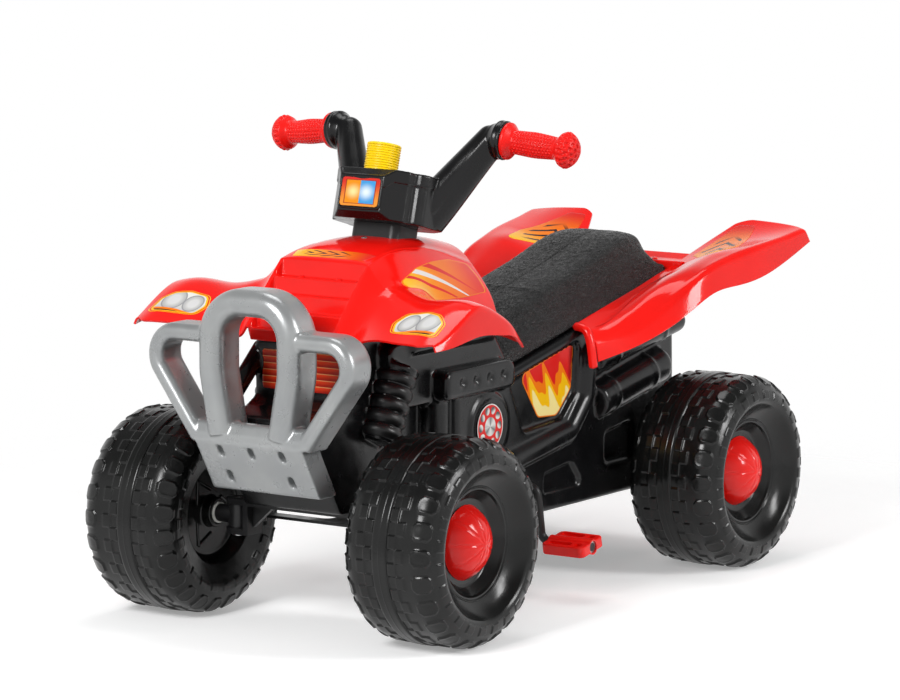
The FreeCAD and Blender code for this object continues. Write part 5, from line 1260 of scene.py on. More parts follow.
@dataclass
class FrontCowl:
    """Hood with its stepped grille and both front mudguards.

    Stations are distances behind the axle. The way across is counted from the ridge (0) over the valley
    to the start of the mudguard's turned edge and to its corner (202).
    """

    wall: float = 3.0
    brow: float = 33.0
    guard_end: float = 136.0
    stations: tuple[float, ...] = (-43.0, -9.0, 33.0, 80.0, 115.0, 136.0, 150.0, 220.0, 285.0)
    across: tuple[float, ...] = (0.0, 28.0, 47.0, 68.0, 115.0, 170.0, 202.0)
    valley: float = 68.0
    edge_start: float = 196.0
    lean_from: float = 80.0
    quarter: float = 37.0
    steps: int = 4
    step_tread: float = 13.5
    step_rise: float = 20.9
    step_lean: float = 5.0
    corner: float = 11.0
    screw_back: float = 124.0

    def table(self) -> Array:
        """Section points at the stations.

        Returns:
            Points (x, up) at each: ridge, hood side twice, valley, mudguard three times, lip.
        """
        return np.array([
            [(73, 397), (80, 387), (90, 384), (118, 393), (176, 398), (218, 398), (236, 395), (239, 390)],
            [(72, 437), (81, 424), (93, 417), (116, 418), (165, 417), (220, 417), (245, 409), (249, 393)],
            [(71, 480), (84, 463), (97, 452), (114, 446), (160, 440), (215, 443), (246, 437), (250, 401)],
            [(69.5, 490.5), (87, 468), (100, 454), (115, 445), (160, 431), (215, 432), (246, 424),
             (250, 397)],
            [(69, 492), (89, 464), (102, 445), (117, 429), (160, 411), (215, 409), (245, 402), (249, 389)],
            [(68.5, 491), (90, 460), (104, 434), (119, 409), (160, 393), (215, 388), (243, 381), (246, 375)],
            [(68, 490), (91, 457), (104, 431), (115, 406), (160, 385), (215, 380), (243, 374), (246, 368)],
            [(65, 477), (90, 442), (103, 417), (110, 396), (150, 376), (210, 370), (243, 365), (246, 360)],
            [(62, 459), (88, 428), (99, 408), (107, 388), (148, 368), (210, 362), (243, 357), (246, 352)],
        ], float)

    def controls(self, back: Array) -> Array:
        """Section points at any distance behind the axle.

        Args:
            back: Distances behind the axle.

        Returns:
            Points (x, up); those of the hood bend at the brow, those of the mudguard don't.
        """
        table = self.table()
        whole = spline(self.stations, table, back)
        front = spline(self.stations[:3], table[:3], np.minimum(back, self.brow))
        rear = spline(self.stations[2:], table[2:], np.maximum(back, self.brow))
        bent = np.where((back <= self.brow)[..., None, None], front, rear)
        share = np.array([1.0, 1.0, 0.5, 0.0, 0.0, 0.0, 0.0, 0.0])[:, None]
        return share * bent + (1.0 - share) * whole

    def skew(self, back: Array) -> Array:
        """How far sections lean forward towards the outside."""
        end = self.stations[3]
        lean = spline(self.stations[:4], (-0.2, -0.16, -0.05, 0.0), np.minimum(back, end))
        return np.where(back < end, lean, 0.0)

    def side_points(self, back: Array, share: Array) -> Array:
        """Points of the left side.

        Args:
            back: Distances behind the axle.
            share: Places on the way across.

        Returns:
            Points of the bike.
        """
        back, share, shape = flattened(back, share)
        place = lofted(self.controls(back)[:, :7], self.across, share)
        lean = self.skew(back) * np.maximum(place[:, 0] - self.lean_from, 0.0)
        return in_bike(place[:, 0], back + lean, place[:, 1]).reshape(shape + (3,))

    def lip_points(self, back: Array) -> Array:
        """Rounded turn of the mudguard's edge.

        Args:
            back: Distances behind the axle.

        Returns:
            Points from the start of the turn down to the lip's lower edge.
        """
        control, lean = self.controls(back), self.skew(back)
        ends = []
        for x, up in (control[:, 6].T, control[:, 7].T):
            ends.append(in_bike(x, back + lean * (x - self.lean_from), up))
        return rolled_edge(self.side_points(back, self.edge_start), *ends, 0.3, (9, 5))

    def top_up(self, x: Array, back: Array) -> Array:
        """Height of the hood's top.

        Args:
            x: Distances from the middle plane.
            back: Distances behind the axle.

        Returns:
            Heights on an even curve of fourth degree through middle, quarter and ridge.
        """
        marks = (self.brow, 90.0, 150.0, 220.0, self.stations[-1])
        levels = [(482.5, 482.5), (499, 498), (504, 502), (499, 495), (486, 479)]
        level = spline(marks, levels, np.maximum(back, self.brow))
        ridge = self.controls(np.asarray(back, float).ravel())[:, 0].reshape(np.shape(back) + (2,))
        middle = level[..., 0]
        q2, r2 = self.quarter**2, ridge[..., 0] ** 2
        drop_q, drop_r = level[..., 1] - middle, ridge[..., 1] - middle
        fourth = (drop_r - drop_q * r2 / q2) / (r2**2 - q2 * r2)
        second = (drop_q - fourth * q2**2) / q2
        return middle + second * x**2 + fourth * x**4

    def top_points(self, x: Array, back: Array) -> Array:
        """Points of the hood's top."""
        return in_bike(x, back, self.top_up(x, back))

    def rows(self) -> tuple[Array, Array]:
        """Rows of the skins from front to rear.

        Returns:
            Their distances behind the axle, and the height of the stepped grille at each.
        """
        back, up = -41.0, 396.0
        corners = [(self.stations[0], 381.0, 0.0), (back, up, 2.0)]
        for _ in range(self.steps):
            back += self.step_tread
            corners.append((back, up, 1.6))
            back += self.step_lean
            up += self.step_rise
            corners.append((back, up, 1.6))
        corners.append((back + 6.0, up + 1.8, 0.0))
        line = evenly(rounded_line(corners, 0.5), 0.95)
        line = line[line[:, 0] < self.brow + 3.0]
        rest = np.linspace(self.brow + 4.5, self.stations[-1], 92)
        return np.concatenate([line[:, 0], rest]), np.concatenate([line[:, 1], np.full(len(rest), np.inf)])

    def guard_points(self, x: Array, back: Array) -> Array:
        """Points of the left mudguard above plan points.

        Args:
            x: Distances from the middle plane.
            back: Distances behind the axle.

        Returns:
            Points of the bike, with heights read from the sections that pass there.
        """
        foot = np.array(back, float)
        for _ in range(6):
            foot = back - self.skew(foot) * np.maximum(x - self.lean_from, 0.0)
        lines = self.side_points(foot.ravel()[:, None], np.linspace(0.0, self.across[-1], 160)[None])
        return in_bike(x, back, height_over(lines, x.ravel()).reshape(np.shape(x)))

    def hood_skin(self) -> Skin:
        """Skin of the hood.

        Returns:
            Top with its grille, cheeks beside it, ridges and sides, open where the steering collar is.
        """
        back, step = self.rows()
        ridge_x, ridge_up = self.controls(back)[:, 0].T
        top = self.top_points(*np.meshgrid(np.linspace(0.0, 63.5, 9), back))
        brow = smooth(self.brow - 2.0, self.brow + 3.0, back)[:, None]
        top[..., 2] = np.minimum(step[:, None], top[..., 2]) * (1 - brow) + top[..., 2] * brow
        height = top[:, -1:, 2]
        inner = self.top_up(np.full(len(back), 68.0), np.maximum(back, self.brow))
        rim_up = np.where(back <= self.brow, ridge_up - 0.3, np.minimum(inner, ridge_up + 2.0))[:, None]
        rise = np.array([0.04, 0.3, 0.72, 0.96])
        cheek = in_bike(np.array([64.6, 65.6, 66.4, 67.0]), back[:, None], height + rise * (rim_up - height))
        lip_x = np.minimum(np.array([68.2, 70.0]), ridge_x[:, None] - np.array([2.4, 1.2]))
        lip = in_bike(lip_x, back[:, None], rim_up)
        share = np.concatenate([np.linspace(0.0, 6.0, 4), np.linspace(9.0, self.valley, 20)])
        half = np.concatenate([top, cheek, lip, self.side_points(back[:, None], share[None])], axis=1)
        whole = np.concatenate([half[:, :0:-1] * MIRROR, half], axis=1)
        off = np.abs((whole[:-1, :-1] + whole[1:, 1:]) / 2.0 - in_bike(0.0, 170.0, 0.0))
        return Skin(whole, keep=(off[..., 0] >= 32.0) | (off[..., 1] >= 24.0)).facing(UPWARDS)

    def guard_skin(self) -> Skin:
        """Skin of the left mudguard.

        Returns:
            Its top and its turned edge, with the front corner rounded off.
        """
        back = self.rows()[0]
        back = back[back <= self.guard_end]
        share = np.linspace(self.valley, self.edge_start, 44)
        recess = self.corner * (1.0 - smooth(self.stations[0], -8.0, back))
        outer = np.clip((share - 166.0) / 30.0, 0.0, 1.0) ** 2
        over = self.side_points(back[:, None] + recess[:, None] * outer, share[None])
        return Skin(np.concatenate([over, self.lip_points(back + recess)], axis=1)).facing(UPWARDS)

    def screw_skin(self) -> Skin:
        """Round screw head in front of the collar.

        Returns:
            A low dome with a cross cut into it.
        """
        reach = np.linspace(0.0, 4.2, 15)[:, None]
        angle = full_turn(48)
        x, y = reach * np.cos(angle), reach * np.sin(angle)
        dome = 1.9 * np.sqrt(np.maximum(1.0 - (reach / 4.25) ** 2, 0.0))
        cross = 1.0 - smooth(0.35, 0.7, np.minimum(np.abs(x), np.abs(y)))
        dome = dome - 1.2 * cross * (1.0 - smooth(2.3, 2.8, reach))
        base = float(self.top_up(np.zeros(1), np.full(1, self.screw_back))[0])
        return Skin(in_bike(x, self.screw_back + y, base + dome), wrap_columns=True).facing(UPWARDS)

    def build(self, shop: Workshop) -> None:
        """Make the cowl, its printed labels and its small screw.

        Args:
            shop: Workshop that finishes the pieces.
        """
        guard = self.guard_skin()
        cowl = make_piece("cowl_skin", [self.hood_skin(), guard, guard.mirrored()], sharp=48.0)
        thicken(cowl, self.wall, 0.7)
        shop.fit(cowl, "chassis", RED_GLOSS, "front_cowl")
        lamp = [(156, -42, 10), (148, -23, 10), (158, -3, 12), (190, -1, 16), (214, -8, 14), (230, -22, 10),
                (232, -52, 8), (200, -48, 30)]
        label_pair(shop, "lamp_film", Motif.LAMP, lamp, self.guard_points, (0.2, -0.4, 0.9))
        side = [(48, 62, 9), (72, 42, 20), (117, 23, 20), (163, 13, 30), (218, 6, 20), (268, 4, 9),
                (277, 17, 8), (277, 35, 6), (168, 50, 60)]
        label_pair(shop, "hood_film", Motif.SWEEP, side, self.side_points, (1.0, 0.0, 0.6))
        strip = [(-57, 40, 2), (57, 40, 2), (64, 62, 2), (-64, 62, 2)]
        Label("brow_film", "chassis", Motif.CHEVRON, strip, self.top_points, UPWARDS).build(shop)
        screw = make_piece("hood_screw", [self.screw_skin()])
        thicken(screw, 0.8)
        shop.fit(screw, "chassis", ZINC)


# Rear mudguards


@dataclass
class RearFender:
    """Both rear mudguards with their wings and the deck behind the seat.

    The way across is counted from the ledge by the seat (0) to the ridge (112).
    """

    wall: float = 3.0
    corner: float = 12.0
    stations: tuple[float, ...] = (492.0, 546.0, 604.0, 670.0, 720.0, 765.0, 830.0, 897.0)
    across: tuple[float, ...] = (0.0, 30.0, 66.0, 112.0)
    edge_start: float = 102.0
    deck_half: float = 112.0
    bead: float = 6.2

    def table(self) -> Array:
        """Section points at the stations.

        Returns:
            Points (x, up) at each: ledge by the seat, two on top, ridge, lower edge.
        """
        return np.array([
            [(94, 353.3), (114, 348), (126, 340), (134, 326), (137, 306)],
            [(94, 365), (122, 358), (143, 356), (161, 344), (170, 326)],
            [(94, 377.6), (121, 380), (152, 388), (187, 384), (201, 357)],
            [(94, 391.9), (120, 396), (158, 410), (207, 425), (218, 390)],
            [(94, 403.8), (122, 408), (165, 424), (215, 438), (227, 396)],
            [(91, 412), (126, 421), (172, 436), (224, 446), (234, 402)],
            [(101, 435), (141, 443), (185, 449), (232, 454), (239, 420)],
            [(129, 469), (160, 468), (195, 466), (238, 461), (241, 443)],
        ], float)

    def over_points(self, back: Array, share: Array) -> Array:
        """Points of the left top.

        Args:
            back: Distances behind the axle.
            share: Places on the way across.

        Returns:
            Points of the bike, with a low step beside the ledge.
        """
        back, share, shape = flattened(back, share)
        place = lofted(spline(self.stations, self.table(), back)[:, :4], self.across, share)
        fade = smooth(500.0, 560.0, back) * (1.0 - smooth(720.0, 790.0, back))
        swell = smooth(28.0, 42.0, share) * (1.0 - smooth(70.0, 112.0, share))
        up = place[:, 1] + 7.5 * fade * swell - 2.0 * fade * bump_at(share, 27.0, 3.5)
        return in_bike(place[:, 0], back, up).reshape(shape + (3,))

    def edge_points(self, back: Array) -> Array:
        """Round turn over the ridge and down to the lower edge."""
        control = spline(self.stations, self.table(), back)
        top, foot = (in_bike(control[:, k, 0], back, control[:, k, 1]) for k in (3, 4))
        return rolled_edge(self.over_points(back, self.edge_start), top, foot, 0.32, (10, 8))

    def wing_points(self, x: Array, back: Array) -> Array:
        """Points of the left wing's top above plan points.

        Args:
            x: Distances from the middle plane.
            back: Distances behind the axle.

        Returns:
            Points of the bike.
        """
        lines = self.over_points(back.ravel()[:, None], np.linspace(0.0, self.across[-1], 120)[None])
        return in_bike(x, back, height_over(lines, x.ravel()).reshape(np.shape(x)))

    def guard_skin(self) -> Skin:
        """Skin of the left mudguard.

        Returns:
            Its top and its turned edge, with both rear corners rounded off.
        """
        back = np.linspace(492.0, 896.5, 150)
        share = np.linspace(0.0, self.edge_start, 46)
        recess = self.corner * smooth(840.0, self.stations[-1], back)[:, None]
        inner = np.clip(1.0 - share / 18.0, 0.0, 1.0) ** 2
        over = self.over_points(back[:, None] - recess * inner, share[None])
        guard = np.concatenate([over, self.edge_points(back)], axis=1)
        column = np.arange(guard.shape[1])
        outer = np.clip((column - 36.0) / 10.0, 0.0, 1.0) ** 2
        outer = outer * np.clip((guard.shape[1] - 1.0 - column) / 8.0, 0.0, 1.0)
        guard[..., 1] -= 0.6 * recess * outer
        return Skin(guard).facing(UPWARDS)

    def deck_skin(self) -> Skin:
        """Skin of the deck.

        Returns:
            One line drawn across the bike.
        """
        outline = [(748.5, 394, 0), (752, 419.5, 3), (764, 416.2, 6), (786, 417.5, 10), (806, 424.5, 3),
                   (809, 421, 0)]
        line = evenly(rounded_line(outline, 0.8), 1.5)
        wide = np.linspace(-self.deck_half, self.deck_half, 49)
        return Skin(in_bike(wide[None], line[:, :1], line[:, 1:2])).facing(UPWARDS)

    def bead_skin(self) -> Skin:
        """Round bead along the front edge of the left mudguard.

        Returns:
            A closed tube with round ends.
        """
        count, knots = 60, (0.0, 25.0, 50.0, 80.0, 106.0)
        spots = [(97, 492, 352.5), (114, 491, 349.5), (122.5, 490, 338), (127.5, 489, 318), (131, 488, 296)]
        path = spline(knots, in_bike(*np.array(spots, float).T), np.linspace(0.0, knots[-1], count))
        taper = np.sqrt(np.clip(1.0 - np.linspace(-1.0, 1.0, count) ** 40, 0.0, 1.0))
        return closed_tube(path, self.bead * taper + 0.02)

    def build(self, shop: Workshop) -> None:
        """Make the mudguards, the beads at their front edges and the wing labels.

        Args:
            shop: Workshop that finishes the pieces.
        """
        guard, bead = self.guard_skin(), self.bead_skin()
        fender = make_piece("rear_guard_skin", [guard, guard.mirrored(), self.deck_skin()], sharp=50.0)
        thicken(fender, self.wall, 0.7)
        shop.fit(fender, "chassis", RED_GLOSS, "rear_fender")
        beads = make_piece("guard_beads", [bead, bead.mirrored()], closed=True)
        shop.fit(beads, "chassis", RED_GLOSS)
        wing = [(108, 790, 6), (176, 730, 8), (186, 786, 20), (174, 838, 16), (160, 880, 8), (130, 880, 8)]
        label_pair(shop, "wing_film", Motif.CHEVRON, wing, self.wing_points, (0.0, -0.2, 1.0), swap=True)


# Seat


@dataclass
class Seat:
    """Moulded seat with drawn-in sides, a broken front slope and a crease along the middle.

    Stations are distance behind the axle, height of the top and half its width.
    """

    base_up: float = 325.0
    base_back: float = 380.0
    slope: float = 0.217
    half: float = 91.0
    grain: float = 0.6
    stations: tuple[tuple[float, float, float], ...] = (
        (326.0, 346.0, 56.0), (345, 358, 58), (385, 374.5, 61), (440, 394.5, 63), (475, 405.5, 64.5),
        (580, 432.5, 64.5), (680, 459, 62.5), (706, 460, 60), (728, 448, 56), (743, 420, 52))

    def side_section(self, back: Array, low: Array) -> Array:
        """Left half of the sections with its crease, fold and leather grain.

        Args:
            back: Distances behind the axle.
            low: Height of the seat's base at each.

        Returns:
            Points (x, up) from the middle of the top to the base, one row for each section.
        """
        table = np.array(self.stations)
        top, half = spline(table[:, 0], table[:, 1:], back).T
        rise, wide = top - low, np.full_like(back, self.half)
        corner = np.array([
            (0.0 * back, top + 1.5), (half - 16, top + 0.4), (half - 2, top - 0.04 * rise - 1.2),
            (half + 5, top - 0.2 * rise - 1.5), (wide - 11, low + 0.42 * rise), (wide - 3, low + 8.0),
            (wide, low + 0.4),
        ]).transpose(2, 0, 1)
        knots = (0.0, 48.0, 62.0, 76.0, 116.0, 142.0, 152.0)
        runs = ((0.0, 5.0, 9), (6.0, 132.0, 100), (134.0, knots[-1], 8))
        share = np.concatenate([np.linspace(*run) for run in runs])
        side = np.einsum("sk,nkc->nsc", spline(knots, np.eye(len(knots)), share), corner)
        dent = smooth(452.0, 474.0, back) * (1.0 - smooth(690.0, 712.0, back))
        side[..., 1] -= 2.2 * dent[:, None] * bump_at(share, 0.0, 1.3)[None]
        side[..., 1] += 1.3 * (bump_at(back, 464.0, 5.0)[:, None] * (1.0 - smooth(70.0, 96.0, share))[None])
        along = np.gradient(side, share, axis=1)
        out = unit(np.stack([-along[..., 1], along[..., 0]], axis=-1))
        grain = wrinkles(back[:, None], share[None], 5.2, 11)
        grain = grain + 0.6 * wrinkles(back[:, None], share[None], 3.1, 12)
        height = self.grain * (grain - 1.2) * smooth(2.0, 4.0, share) * (1.0 - smooth(130.0, 142.0, share))
        return side + height[..., None] * out

    def skin(self) -> Skin:
        """Closed skin of the seat.

        Returns:
            A ring of section points at each distance, drawn together at both ends.
        """
        back = np.linspace(self.stations[0][0], self.stations[-1][0], 310)
        low = self.base_up + self.slope * (back - self.base_back)
        side = self.side_section(back, low)
        left = in_bike(side[..., 0], back[:, None], side[..., 1])
        floor_x = np.linspace(self.half, -self.half, 9)[1:-1]
        floor = in_bike(floor_x[None], back[:, None], low[:, None] + 0.4)
        ring = np.concatenate([left[:, :0:-1] * MIRROR, left, floor], axis=1)
        ends = []
        for k, reach in ((0, -3.5), (-1, 3.0)):
            push = np.array([0.0, reach, 0.0])
            heart = ring[k].mean(axis=0) + push
            shrink = [heart + (ring[k] - heart) * part + push * share
                      for part, share in ((0.965, 0.55), (0.9, 0.9), (0.6, 1.0), (0.0, 0.0))]
            ends.append(np.stack(shrink if k else shrink[::-1]))
        return Skin(np.concatenate([ends[0], ring, ends[1]]), wrap_columns=True)

    def build(self, shop: Workshop) -> None:
        """Make the seat."""
        shop.fit(make_piece("seat_moulding", [self.skin()], closed=True), "chassis", SEAT_GRAIN, "seat")


# Mouldings that keep the solid's own form

PLATE_LEAN = -59.2
PLATE_PLUGS = ((-24.0, -480.9, 215.1), (24.0, -480.9, 215.1))
PLUG_RADIUS = 7.5
PLUG_DEPTH = 12.0


@dataclass
class SoftMoulding:
    """Copy of a solid with its edges softened as blow moulding does.

    Plugs close screw holes, and extras are closed skins that are merged with the solid.
    """

    node: str
    body: str
    finish: Finish
    voxel: float
    rounds: int
    kept: float
    plugs: Sequence[tuple[float, float, float]] = ()
    extras: Sequence[Skin] = ()

    def merged(self, solid: bpy.types.Mesh) -> bpy.types.Mesh:
        """Copy of the solid's mesh with the plugs and extras.

        Args:
            solid: The solid's mesh.

        Returns:
            The new mesh.
        """
        mesh = solid.copy()
        work = bmesh.new()
        work.from_mesh(mesh)
        bmesh.ops.remove_doubles(work, verts=work.verts, dist=1e-5)
        size = PLUG_RADIUS * MM
        for place in self.plugs:
            spot = Matrix.Translation(Vector(place) * MM) @ Matrix.Rotation(math.radians(PLATE_LEAN), 4, "X")
            bmesh.ops.create_cone(work, cap_ends=True, segments=32, radius1=size, radius2=size,
                                  depth=PLUG_DEPTH * MM, matrix=spot)
        if self.extras:
            more = make_piece(self.node + "_extras", self.extras, closed=True)
            work.from_mesh(more.data)
            bpy.data.objects.remove(more)
        work.to_mesh(mesh)
        work.free()
        return mesh

    def build(self, shop: Workshop) -> None:
        """Remesh the merged copy on a fine grid, even it out and thin it.

        Args:
            shop: Workshop that finishes the piece.
        """
        copy = add_object(self.node + "_copy", self.merged(shop.nodes[self.node].data))
        modify(copy, "grid", "REMESH", mode="VOXEL", voxel_size=self.voxel * MM, adaptivity=0.0)
        modify(copy, "even", "SMOOTH", factor=0.5, iterations=self.rounds)
        modify(copy, "thin", "DECIMATE", ratio=self.kept)
        made = bpy.data.meshes.new_from_object(copy.evaluated_get(bpy.context.evaluated_depsgraph_get()))
        bpy.data.objects.remove(copy)
        made.name = self.node + "_soft"
        made.polygons.foreach_set("use_smooth", np.ones(len(made.polygons), bool))
        shop.fit(add_object(made.name, made), self.body, self.finish, self.node)


# Handlebar


@dataclass
class HandlebarSet:
    """Bar with its arms and lip, and the grips, horn and panel on it."""

    grip_length: float = 108.0
    flange: float = 25.0
    grip_radius: float = 15.0
    spigot: float = 10.6
    crown: float = 17.0
    dent_pitch: float = 4.8
    dent_rows: float = 11.0
    pit_pitch: float = 8.0
    arm_end: float = 14.0
    arm_past: float = 23.0
    horn_back: float = -32.0
    horn_radius: float = 23.0
    horn_bore: float = 18.2
    horn_height: float = 33.0
    horn_stroke: float = 12.0
    horn_ribs: int = 9
    console_top: float = 78.0
    panel_face: float = -71.7
    frame_face: float = -70.4
    start: tuple[float, float, float] = (126.0, 45.0, 143.0)
    run: tuple[float, float, float] = (96.0, 11.0, -6.4)

    def grip_section(self) -> Array:
        """Closed section of a grip.

        Returns:
            Points (along, radius) of the bore, flange, body and mushroom end.
        """
        end, wide, r = self.grip_length, self.flange, self.grip_radius
        bore = np.array([(end - 14.0, 0.02), (end - 14.0, self.spigot)])
        ball = (wide**2 + self.crown**2) / (2.0 * self.crown)
        lean = np.linspace(math.asin(wide / ball), 0.0, 40)
        dome = np.stack([end - ball + ball * np.cos(lean), np.maximum(ball * np.sin(lean), 0.02)], axis=-1)
        outer = rounded_line([
            (0.2, self.spigot, 0), (0.2, wide, 2), (5, wide, 3), (13, r + 1.0, 6), (44, r + 2.6, 120),
            (end - 31, r, 8), (end - 24, wide - 2.5, 4), (end - 17.5, wide, 0)], 0.6)
        return np.concatenate([bore, evenly(outer, 0.62), dome[1:]])

    def grip_skin(self) -> Skin:
        """Skin of the left grip.

        Returns:
            The turned section, with dents on its body, flutes on its rim and pits on its round end.
        """
        section = self.grip_section()
        angle = full_turn(196)
        along, radius = section[:, :1], section[:, 1:2]
        end = self.grip_length
        body = smooth(15.0, 16.5, along) * (1.0 - smooth(end - 35.0, end - 33.0, along))
        lane = angle[None] * self.dent_rows * self.dent_pitch * math.sqrt(3.0) / TURN
        dent = 1.0 - smooth(0.9, 2.0, hex_distance(along, lane, self.dent_pitch))
        crown = smooth(end - 13.0, end - 11.0, along)
        across = hex_distance(radius * np.cos(angle), radius * np.sin(angle), self.pit_pitch)
        pits = 1.0 - smooth(1.9, 3.0, across)
        rim = smooth(end - 24.0, end - 21.0, along) * smooth(22.0, 23.5, radius)
        flutes = 0.5 - 0.5 * np.cos(20.0 * angle)[None]
        outer = (np.arange(len(section)) > 3)[:, None]
        height = np.where(outer, -1.2 * body * dent - 2.4 * crown * pits - 1.6 * rim * flutes**2, 0.0)
        normal = line_normals(section)
        x, reach = along + normal[:, :1] * height, radius + normal[:, 1:2] * height
        run = unit(np.array(self.run))
        first = unit(np.cross(run, UPWARDS))
        second = np.cross(run, first)
        points = np.array(self.start) + run * self.arm_end + x[..., None] * run
        points = points + (reach * np.cos(angle))[..., None] * first
        points = points + (reach * np.sin(angle))[..., None] * second
        return Skin(STEERING.place(points), wrap_columns=True)

    def horn_place(self, section: Array, wrap_rows: bool) -> Skin:
        """Turn a section about the horn's axis on the console.

        Args:
            section: Points (height, radius).
            wrap_rows: Whether the section is closed.

        Returns:
            The skin.
        """
        angle = full_turn(120)
        x = section[:, 1:2] * np.cos(angle)
        y = self.horn_back + section[:, 1:2] * np.sin(angle)
        z = np.broadcast_to(self.console_top + section[:, :1], x.shape)
        return Skin(STEERING.place(np.stack([x, y, z], axis=-1)), wrap_rows=wrap_rows, wrap_columns=True)

    def horn_skin(self) -> Skin:
        """Hollow bellows of the horn.

        Returns:
            A rippled outer wall and a plain inner one.
        """
        tall = np.linspace(0.0, self.horn_height, 150)
        ripple = 0.5 - 0.5 * np.cos(TURN * self.horn_ribs * np.clip((tall - 1.5) / 30.0, 0.0, 1.0))
        outer = np.stack([tall, self.horn_radius - 1.1 * ripple**2.2], axis=-1)
        inner = np.array([(self.horn_height, self.horn_bore), (0.0, self.horn_bore)])
        return self.horn_place(np.concatenate([outer, inner]), True)

    def cap_skin(self) -> Skin:
        """Closed cap of the horn.

        Returns:
            A shallow dish inside a rounded rim.
        """
        low = self.horn_height + 0.3
        line = rounded_line([(low, 0.02, 0), (low, 23, 1), (low + 4, 23, 2.2), (low + 4, 19.6, 0.8),
                             (low + 3.2, 18.6, 0.8), (low + 3.4, 0.02, 0)], 0.4)
        return self.horn_place(evenly(line, 0.8), False)

    def frame_skin(self) -> Skin:
        """Moulded frame about the panel on the console's face.

        Returns:
            A closed round bar.
        """
        corners = [(-32.6, 22, 5), (32.6, 22, 5), (32.6, 65, 5), (-32.6, 65, 5)]
        ring = evenly(rounded_line(corners, 0.7, True), 1.2)
        angle = full_turn(12)
        out = unit(ring - np.array([0.0, 43.5]))
        around = ring[:, None] + out[:, None] * (1.9 * np.cos(angle))[None, :, None]
        deep = np.broadcast_to(self.frame_face + 2.0 * np.sin(angle)[None], around.shape[:2])
        points = np.stack([around[..., 0], deep, around[..., 1]], axis=-1)
        return Skin(STEERING.place(points), True, True)

    def arm_skin(self) -> Skin:
        """Left arm as a closed bar with an oval section that is flat towards the front and the outside.

        Returns:
            Rings along the line from the console's foot past the grip's axis, with a round end over it.
        """
        foot, tip = np.array([58.0, 8.0, 22.0]), np.array(self.start) - np.array([3.0, 1.0, 0.0])
        reach = np.linalg.norm(tip - foot)
        run = (tip - foot) / reach
        wide = np.array([0.56, 0.83, 0.0])
        wide = unit(wide - (wide @ run) * run)
        thin = np.cross(run, wide)
        past = self.arm_past * np.sin(np.linspace(0.0, 0.5 * math.pi, 16))
        along = np.concatenate([np.linspace(0.0, reach - 2.0, 40), reach + past])
        beyond = np.maximum(along - reach, 0.0) / self.arm_past
        close = np.sqrt(np.clip(1.0 - beyond**2, 0.0, 1.0)) + 0.002
        half_wide = ((25.5 - 6.5 * smooth(0.0, reach, along)) * close)[:, None, None]
        half_thin = ((16.0 - 2.6 * smooth(0.0, reach, along)) * close)[:, None, None]
        angle = full_turn(48)
        one, two = (np.sign(turn) * np.abs(turn) ** 0.8 for turn in (np.cos(angle), np.sin(angle)))
        ring = half_wide * one[None, :, None] * wide + half_thin * two[None, :, None] * thin
        return Skin(STEERING.place(capped(foot + along[:, None, None] * run + ring)), wrap_columns=True)

    def lid_skin(self) -> Skin:
        """Closed lip round the upper part of the console.

        Returns:
            Rings about the console's outline that follow the slope of its front edge.
        """
        half = [(34, -70, 5), (57, -46, 6), (59, -34, 3), (67, -32, 5), (73, -22, 8), (73, 26, 14),
                (51, 42, 16)]
        ring = ring_through(half + [(-x, y, r) for x, y, r in half[::-1]], 1.5)
        out = unit(ring - np.array([0.0, -12.0]))
        crest = np.minimum(self.console_top + 0.4, ring[:, 1] + self.console_top + 60.0)
        levels = ((-9.0, 18.0), (1.7, 17.0), (2.2, 2.2), (0.6, 0.0), (-9.0, 9.0))
        rows = [np.column_stack([ring + grow * out, crest - drop]) for grow, drop in levels]
        return Skin(STEERING.place(capped(np.stack(rows))), wrap_columns=True)

    def panel_points(self, x: Array, up: Array) -> Array:
        """Points of the console's face, from distances in the column's frame."""
        return STEERING.place(np.stack([x, np.full_like(x, self.panel_face), up], axis=-1))

    def build(self, shop: Workshop) -> None:
        """Make the bar with its arms, both grips, the horn and the panel.

        Args:
            shop: Workshop that finishes the pieces.
        """
        arm, grip = self.arm_skin(), self.grip_skin()
        SoftMoulding("handlebar", "steering", BLACK_SHELL, 1.3, 4, 0.5,
                     extras=(arm, arm.mirrored(), self.lid_skin())).build(shop)
        for side, skin in ((Side.LEFT, grip), (Side.RIGHT, grip.mirrored())):
            sleeve = make_piece(f"grip_sleeve_{side.word}", [skin], closed=True)
            shop.fit(sleeve, "steering", RED_GRIP, f"grip_{side.word}")
        horn = make_piece("horn_folds", [self.horn_skin()], closed=True, sharp=70.0)
        shop.fit(horn, "steering", YELLOW_RUBBER, "horn_bellows")
        foot = STEERING.place(np.array([0.0, self.horn_back, self.console_top])) * MM
        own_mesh(horn)
        cap = make_piece("horn_top", [self.cap_skin()], closed=True, sharp=60.0)
        shop.fit(cap, "horn", YELLOW_RUBBER, "horn_cap")
        outline = [(-30.5, 24.3, 4), (30.5, 24.3, 4), (30.5, 62.7, 4), (-30.5, 62.7, 4)]
        Label("beacon_film", "steering", Motif.BEACON, outline, self.panel_points, (0.0, -1.0, 0.0),
              thick=1.6, stands_for=("console_panel",)).build(shop)
        shop.fit(make_piece("panel_frame", [self.frame_skin()], closed=True), "steering", BLACK_SHELL)


# Chassis and hardware


